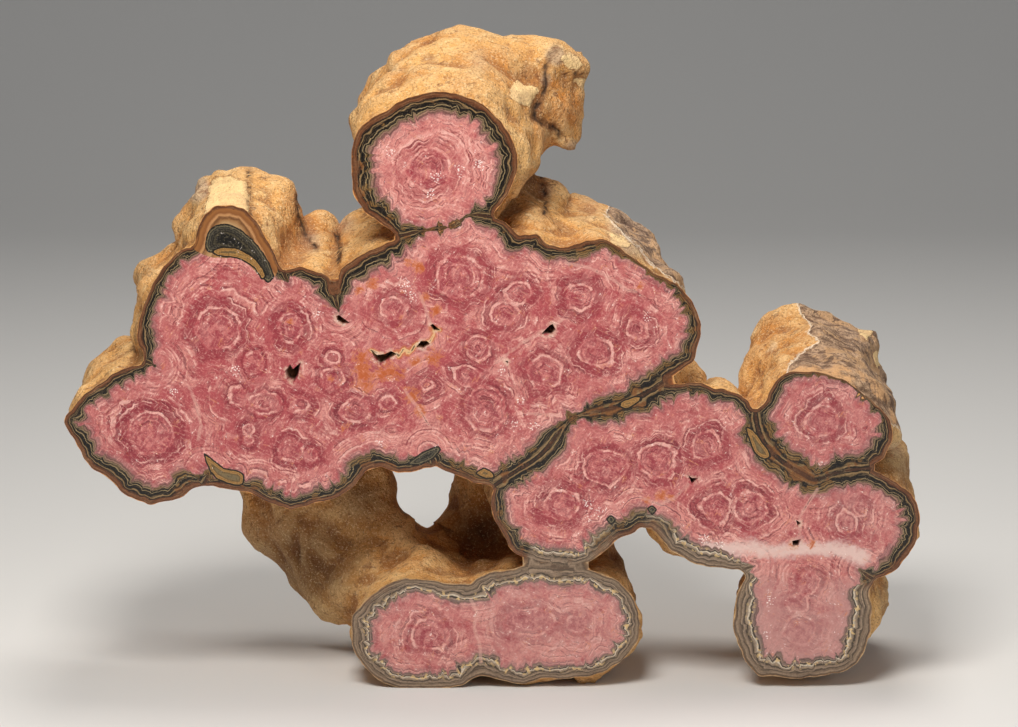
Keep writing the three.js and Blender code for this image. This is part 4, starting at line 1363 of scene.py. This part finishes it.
# %% Rings with corners
ring_at = Wire.node("ShaderNodeAttribute", {"attribute_name": "ring_spot"}, out="Vector")
ring_plain = field("ring")
corners_of = (0.42 - cells(ring_at, 5.4, turns="2D")) * 3.0
points_of = (0.42 - cells(ring_at + (9, 4, 0), 1.9, turns="2D")) * 1.3
looser = 0.35 + rise(ring_plain, -0.5, 3) * 0.9
ring_place = ring_plain + (corners_of + points_of) * looser + waver * 0.45
mottle = flecks(2.6, 3, 0.68)
clouds = flecks(9, 2)
pale_and_lit_by = field("pale")
dusty = field("dusty")

# %% Pulses of growth


def pulses(wire, stops):
    """Lines of growth as numbers from 0, dark, to 1, pale, with a half for the stone as it is."""
    return ramp(wire, [(at, (grey_of, grey_of, grey_of, 1)) for at, grey_of in stops])


RIM_PULSES = [
    (0.00, 0.15), (0.03, 0.50), (0.05, 0.80), (0.07, 0.20), (0.10, 0.50), (0.19, 0.62), (0.24, 0.95),
    (0.255, 0.10), (0.29, 0.50), (0.46, 0.58), (0.54, 0.92), (0.56, 0.15), (0.60, 0.50), (0.90, 0.55),
    (1.00, 0.50),
]
RING_PULSES = [
    (0.00, 0.50), (0.06, 0.34), (0.09, 0.62), (0.11, 0.42), (0.20, 0.42), (0.222, 0.20), (0.240, 0.60),
    (0.260, 0.92), (0.280, 0.80), (0.294, 0.70), (0.306, 0.14), (0.33, 0.34), (0.42, 0.42), (0.46, 0.60),
    (0.492, 0.90), (0.505, 0.20), (0.54, 0.44), (0.66, 0.60), (0.71, 0.88), (0.73, 0.22), (0.78, 0.46),
    (1.00, 0.50),
]
rim_pulse = pulses(into_pink / 12, RIM_PULSES)
ring_pulse = pulses((ring_place + 4) / 15, RING_PULSES)
rim_lines = flecks(1, 2, 0.65, at=pair(toothed_gap * 1.15, run * 0.03))
LINE_DRIFT = (0.05, 0.05, 0)
dot_product = {"operation": "DOT_PRODUCT"}
ring_turn = Wire.node("ShaderNodeVectorMath", dot_product, {0: ring_at, 1: LINE_DRIFT}, "Value")
ring_lines = flecks(1, 2, 0.65, at=pair(ring_place * 1.1, ring_turn))
lines_here = 0.35 + rise(clouds + (mottle - 0.5) * 0.3, 0.4, 0.6) * 0.75
rim_power = (1 - rise(into_pink, 6, 15)) * (1 - dusty * 0.35) * lines_here
ring_power = rise(into_pink, 1.5, 7) * (1 - dusty * 0.05) * lines_here
pulse = ((rim_pulse - 0.5) * 1.3 + (rim_lines - 0.5) * 2.4) * rim_power
broken_line = 0.3 + rise(mottle, 0.42, 0.58) * 0.8
pulse = pulse + ((ring_pulse - 0.5) * 1.8 * broken_line + (ring_lines - 0.5) * 2.0) * ring_power

# %% Pink
ROSE = colour(178, 80, 84)
PALE_ROSE = colour(212, 134, 126)
DEEP_ROSE = colour(152, 55, 64)
BLUSH = colour(238, 184, 172)
MAUVE = colour(118, 70, 74)
WINE = colour(118, 36, 48)

belt_end = field("reach")
belt_noise = (mottle - 0.5) * (2.6 - dusty)
belt = rise(ring_place, 0.5, 0.9) * (1 - rise(ring_place + belt_noise, belt_end * 0.75, belt_end * 1.1))
core = 1 - rise(ring_place, -0.6, -0.2)
# The pale field mixes real paleness with painted light: paler at the top growth, darker in the left lobe.
pink = blend(rise(clouds + (mottle - 0.5) * 0.9 + pale_and_lit_by * 0.3, 0.4, 0.8), ROSE, PALE_ROSE)
pink = blend(bump_between(into_pink, 1.5, 3.5, 11) * 0.4, pink, PALE_ROSE)
pink = blend((1 - rise(into_pink + waver * 2, 0.3, 2.6)) * 0.65, pink, colour(158, 112, 108))
pink = blend(belt * (0.95 - pale_and_lit_by * 0.6 - dusty * 0.15), pink, DEEP_ROSE)
core_tone = blend(rise(mottle, 0.4, 0.62), colour(156, 62, 72), colour(204, 118, 114))
pink = blend(core * 0.8, pink, core_tone)
pink = blend(rise(pulse, 0.02, 0.8) * 0.85, pink, BLUSH)
pink = blend(rise(0 - pulse, 0.02, 0.6) * 0.85, pink, blend(rise(into_pink, 1, 6), MAUVE, WINE))

# %% [markdown]
# The stone is coarse crystal, so each crystal has a tint and fine streaks in a direction of its own.
# Two noises, drawn out in two directions, are shared out among cells as large as the crystals.

# %% Grain of the crystals
crystal = cells(flat_spot + waver * 1.5, 3.0, out="Color", turns="2D")
tint = Wire.node("ShaderNodeSeparateColor", sockets={0: crystal})
which = rise(tint, 0.45, 0.55)
side_step = (upward + across * 0.5) * (1 - which) + (across - upward * 0.7) * which
long_step = (across - upward * 0.5) * (1 - which) + (upward + across * 0.7) * which
streak = flecks(1, 2, 0.6, at=pair(side_step * 1.2, long_step * 0.25))
pink = blend(rise(tint, 0.6, 1.0) * 0.14, pink, BLUSH)
pink = blend(rise(0 - tint, -0.4, 0.0) * 0.16, pink, WINE)
pink = blend(rise(streak, 0.55, 0.7) * 0.3, pink, BLUSH)
pink = blend(rise(0 - streak, -0.44, -0.3) * 0.22, pink, WINE)
pink = blend(rise(dust, 0.54, 0.72) * 0.32, pink, WINE)
pink = blend(rise(0 - dust, -0.43, -0.3) * 0.28, pink, BLUSH)

# %% Dust, whiteness and rust over the pink
pink = blend(rise(dusty + (mottle - 0.5) * 0.6, 0.25, 1.0) * 0.65, pink, colour(190, 144, 138))
whitened = 1 - rise(field("white_gap") + (mottle - 0.5) * 6 + (clouds - 0.5) * 5, 0.2, 4.0)
pink = blend(whitened * 0.8, pink, colour(234, 206, 196))
rust_noise = flecks(4.2, 3, 0.7, at=flat_spot + waver * 4) - 0.5
rust_by = field("rusty") * 1.25 + rust_noise * 2.8 + (streak - 0.5) * 2.2
pink = blend(rise(rust_by, 0.4, 1.1) * 0.6, pink, colour(208, 126, 78))
pink = blend(rise(rust_by, 0.9, 1.5) * 0.8, pink, colour(184, 86, 32))
tone = blend(rise(rim_place, 0.985, 1.015), rim_tone, pink)
tone = blend(rise(arch_in + waver * 0.8, -0.1, 0.15), tone, arch_tone)
tone = blend(rise(beds_in, -0.1, 0.05), tone, bed_tone)

# %% Lenses, cracks and hollows
jitter = waver * 0.7
LENS_TONES = [
    (0.00, (22, 18, 14)), (0.09, (30, 25, 19)), (0.13, (176, 134, 78)), (0.24, (138, 98, 50)),
    (0.32, (172, 130, 74)), (0.42, (104, 82, 52)), (0.60, (124, 106, 74)), (1.00, (88, 82, 68)),
]
lens_in = field("lens") + jitter * 0.8
lens_tone = banded(LENS_TONES, lens_in / 3.2)
lens_tone = blend(rise(dust, 0.5, 0.7) * 0.5, lens_tone, colour(60, 46, 30))
tone = blend(rise(lens_in, -0.25, -0.1), tone, lens_tone)
rust_crack = field("rusty_gap") + jitter
tone = blend((1 - rise(rust_crack, 0.7, 1.3)) * 0.7, tone, colour(198, 112, 56))
tone = blend((1 - rise(rust_crack, 0.4, 0.6)) * 0.8, tone, colour(230, 194, 142))
tone = blend((1 - rise(rust_crack, 0.12, 0.3)) * 0.85, tone, colour(60, 36, 24))
fine_crack = field("fine_gap") + jitter * 0.9
tone = blend((1 - rise(fine_crack, 0.25, 0.8)) * 0.45, tone, colour(226, 178, 164))
tone = blend((1 - rise(fine_crack, 0.03, 0.2)) * rise(mottle, 0.38, 0.5) * 0.75, tone, colour(104, 62, 56))
lip = field("hollow_gap") + jitter
tone = blend((1 - rise(lip, 0.2, 1.4)) * rise(mottle, 0.42, 0.6) * 0.6, tone, colour(226, 196, 174))
# The floors of the hollows painted dark brown: painted shadow.
pit_shadow_tone = blend(rise(mottle, 0.4, 0.6), colour(52, 30, 22), colour(104, 70, 44))
tone = blend(field("sunk"), tone, pit_shadow_tone)

# %% Glints
# White glints painted into the base colour where crystal faces catch the light: painted highlights.
glint_dot = 1 - rise(cells(flat_spot, 0.85, turns="2D"), 0.16, 0.34)
glint_by = rise(field("speckled") + (streak - 0.5) * 2.4, 0.42, 0.8)
anywhere = rise(mottle * 0.6 + streak * 0.4, 0.6, 0.68) * 0.8
painted_glints = glint_dot * glint_by.most(anywhere) * rise(rim_place, 1.0, 1.2)
tone = blend(painted_glints * 0.9, tone, colour(255, 242, 236))
feed(polished, "Base Color", tone)

# %% Polish
sunk = field("sunk")
feed(polished, "Roughness", 0.25 + mottle * 0.08 + (1 - rise(lip, 0, 0.6)) * 0.4 + sunk * 0.4 + painted_glints * 0.2)
polish_height = flecks(1.6, 1) * 0.3 - (1 - rise(field("fine_gap"), 0, 0.3)) * 0.5
polish_bump = {"Strength": 0.2, "Distance": 0.15 * MM, "Height": polish_height}
shape = Wire.node("ShaderNodeBump", sockets=polish_bump)
feed(polished, "Normal", shape)
polished.inputs["Specular IOR Level"].default_value = 0.35
polished.inputs["Coat Weight"].default_value = 0.12
polished.inputs["Coat Roughness"].default_value = 0.12
print("polished face has", len(Wire.sheet.nodes), "nodes")

# %% [markdown]
# ## Floor and light
# The cluster stands on a plain pale sweep, so nothing competes with the stone. A large soft light hangs
# in front and above, a little to the left; a weak one fills from the right; and one from behind and
# above wakes the crust.

# %% A plain sweep to stand on
SWEEP_WIDE = 3.2
SWEEP_FRONT = -2.2
SWEEP_BACK = 1.1
SWEEP_BEND = 0.7
SWEEP_TALL = 2.2

turn = np.linspace(0, math.pi / 2, 13)
profile = [(SWEEP_FRONT, 0.0)]
profile += [(SWEEP_BACK + SWEEP_BEND * math.sin(t), SWEEP_BEND * (1 - math.cos(t))) for t in turn]
profile += [(SWEEP_BACK + SWEEP_BEND, SWEEP_TALL)]
ground = bmesh.new()
rows = [[ground.verts.new((side * SWEEP_WIDE, y, z)) for y, z in profile] for side in (-1, 1)]
for k in range(len(profile) - 1):
    ground.faces.new((rows[0][k], rows[1][k], rows[1][k + 1], rows[0][k + 1]))
sweep = bpy.data.objects.new("sweep", bpy.data.meshes.new("sweep"))
ground.to_mesh(sweep.data)
ground.free()
sweep.data.shade_smooth()
bpy.context.scene.collection.objects.link(sweep)
sweep_paint = bpy.data.materials.new("sweep_paint")
sweep_paint.use_nodes = True
paint = sweep_paint.node_tree.nodes["Principled BSDF"]
paint.inputs["Base Color"].default_value = (0.72, 0.71, 0.695, 1)
paint.inputs["Roughness"].default_value = 0.9
sweep.data.materials.append(sweep_paint)
print("sweep", len(sweep.data.polygons), "faces")

# %% Lights


def soft_light(name, place, target, width, power, tint):
    """A square soft light that points at one place."""
    lamp = bpy.data.lights.new(name, "AREA")
    lamp.size = width
    lamp.energy = power
    lamp.color = tint
    holder = bpy.data.objects.new(name, lamp)
    holder.location = place
    holder.rotation_euler = (Vector(target) - Vector(place)).to_track_quat("-Z", "Y").to_euler()
    bpy.context.scene.collection.objects.link(holder)


middle = (0, -0.04, 0.12)
soft_light("key", (-0.1, -0.46, 0.64), (0, -0.04, 0.17), 0.26, 4.5, (1, 0.965, 0.91))
soft_light("fill", (0.75, -0.95, 0.5), middle, 0.6, 1.6, (0.96, 0.98, 1))
soft_light("crown", (0.1, 0.3, 1.1), middle, 0.5, 6, (1, 0.96, 0.9))
room = bpy.data.worlds.new("room")
bpy.context.scene.world = room
room.use_nodes = True
room.node_tree.nodes["Background"].inputs["Color"].default_value = (0.9, 0.94, 1, 1)
room.node_tree.nodes["Background"].inputs["Strength"].default_value = 0.15
bpy.context.scene.view_settings.view_transform = "Standard"
print("three lights and a dim room")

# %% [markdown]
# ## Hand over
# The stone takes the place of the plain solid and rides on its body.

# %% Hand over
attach(stone, "root")
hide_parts(CLUSTER)
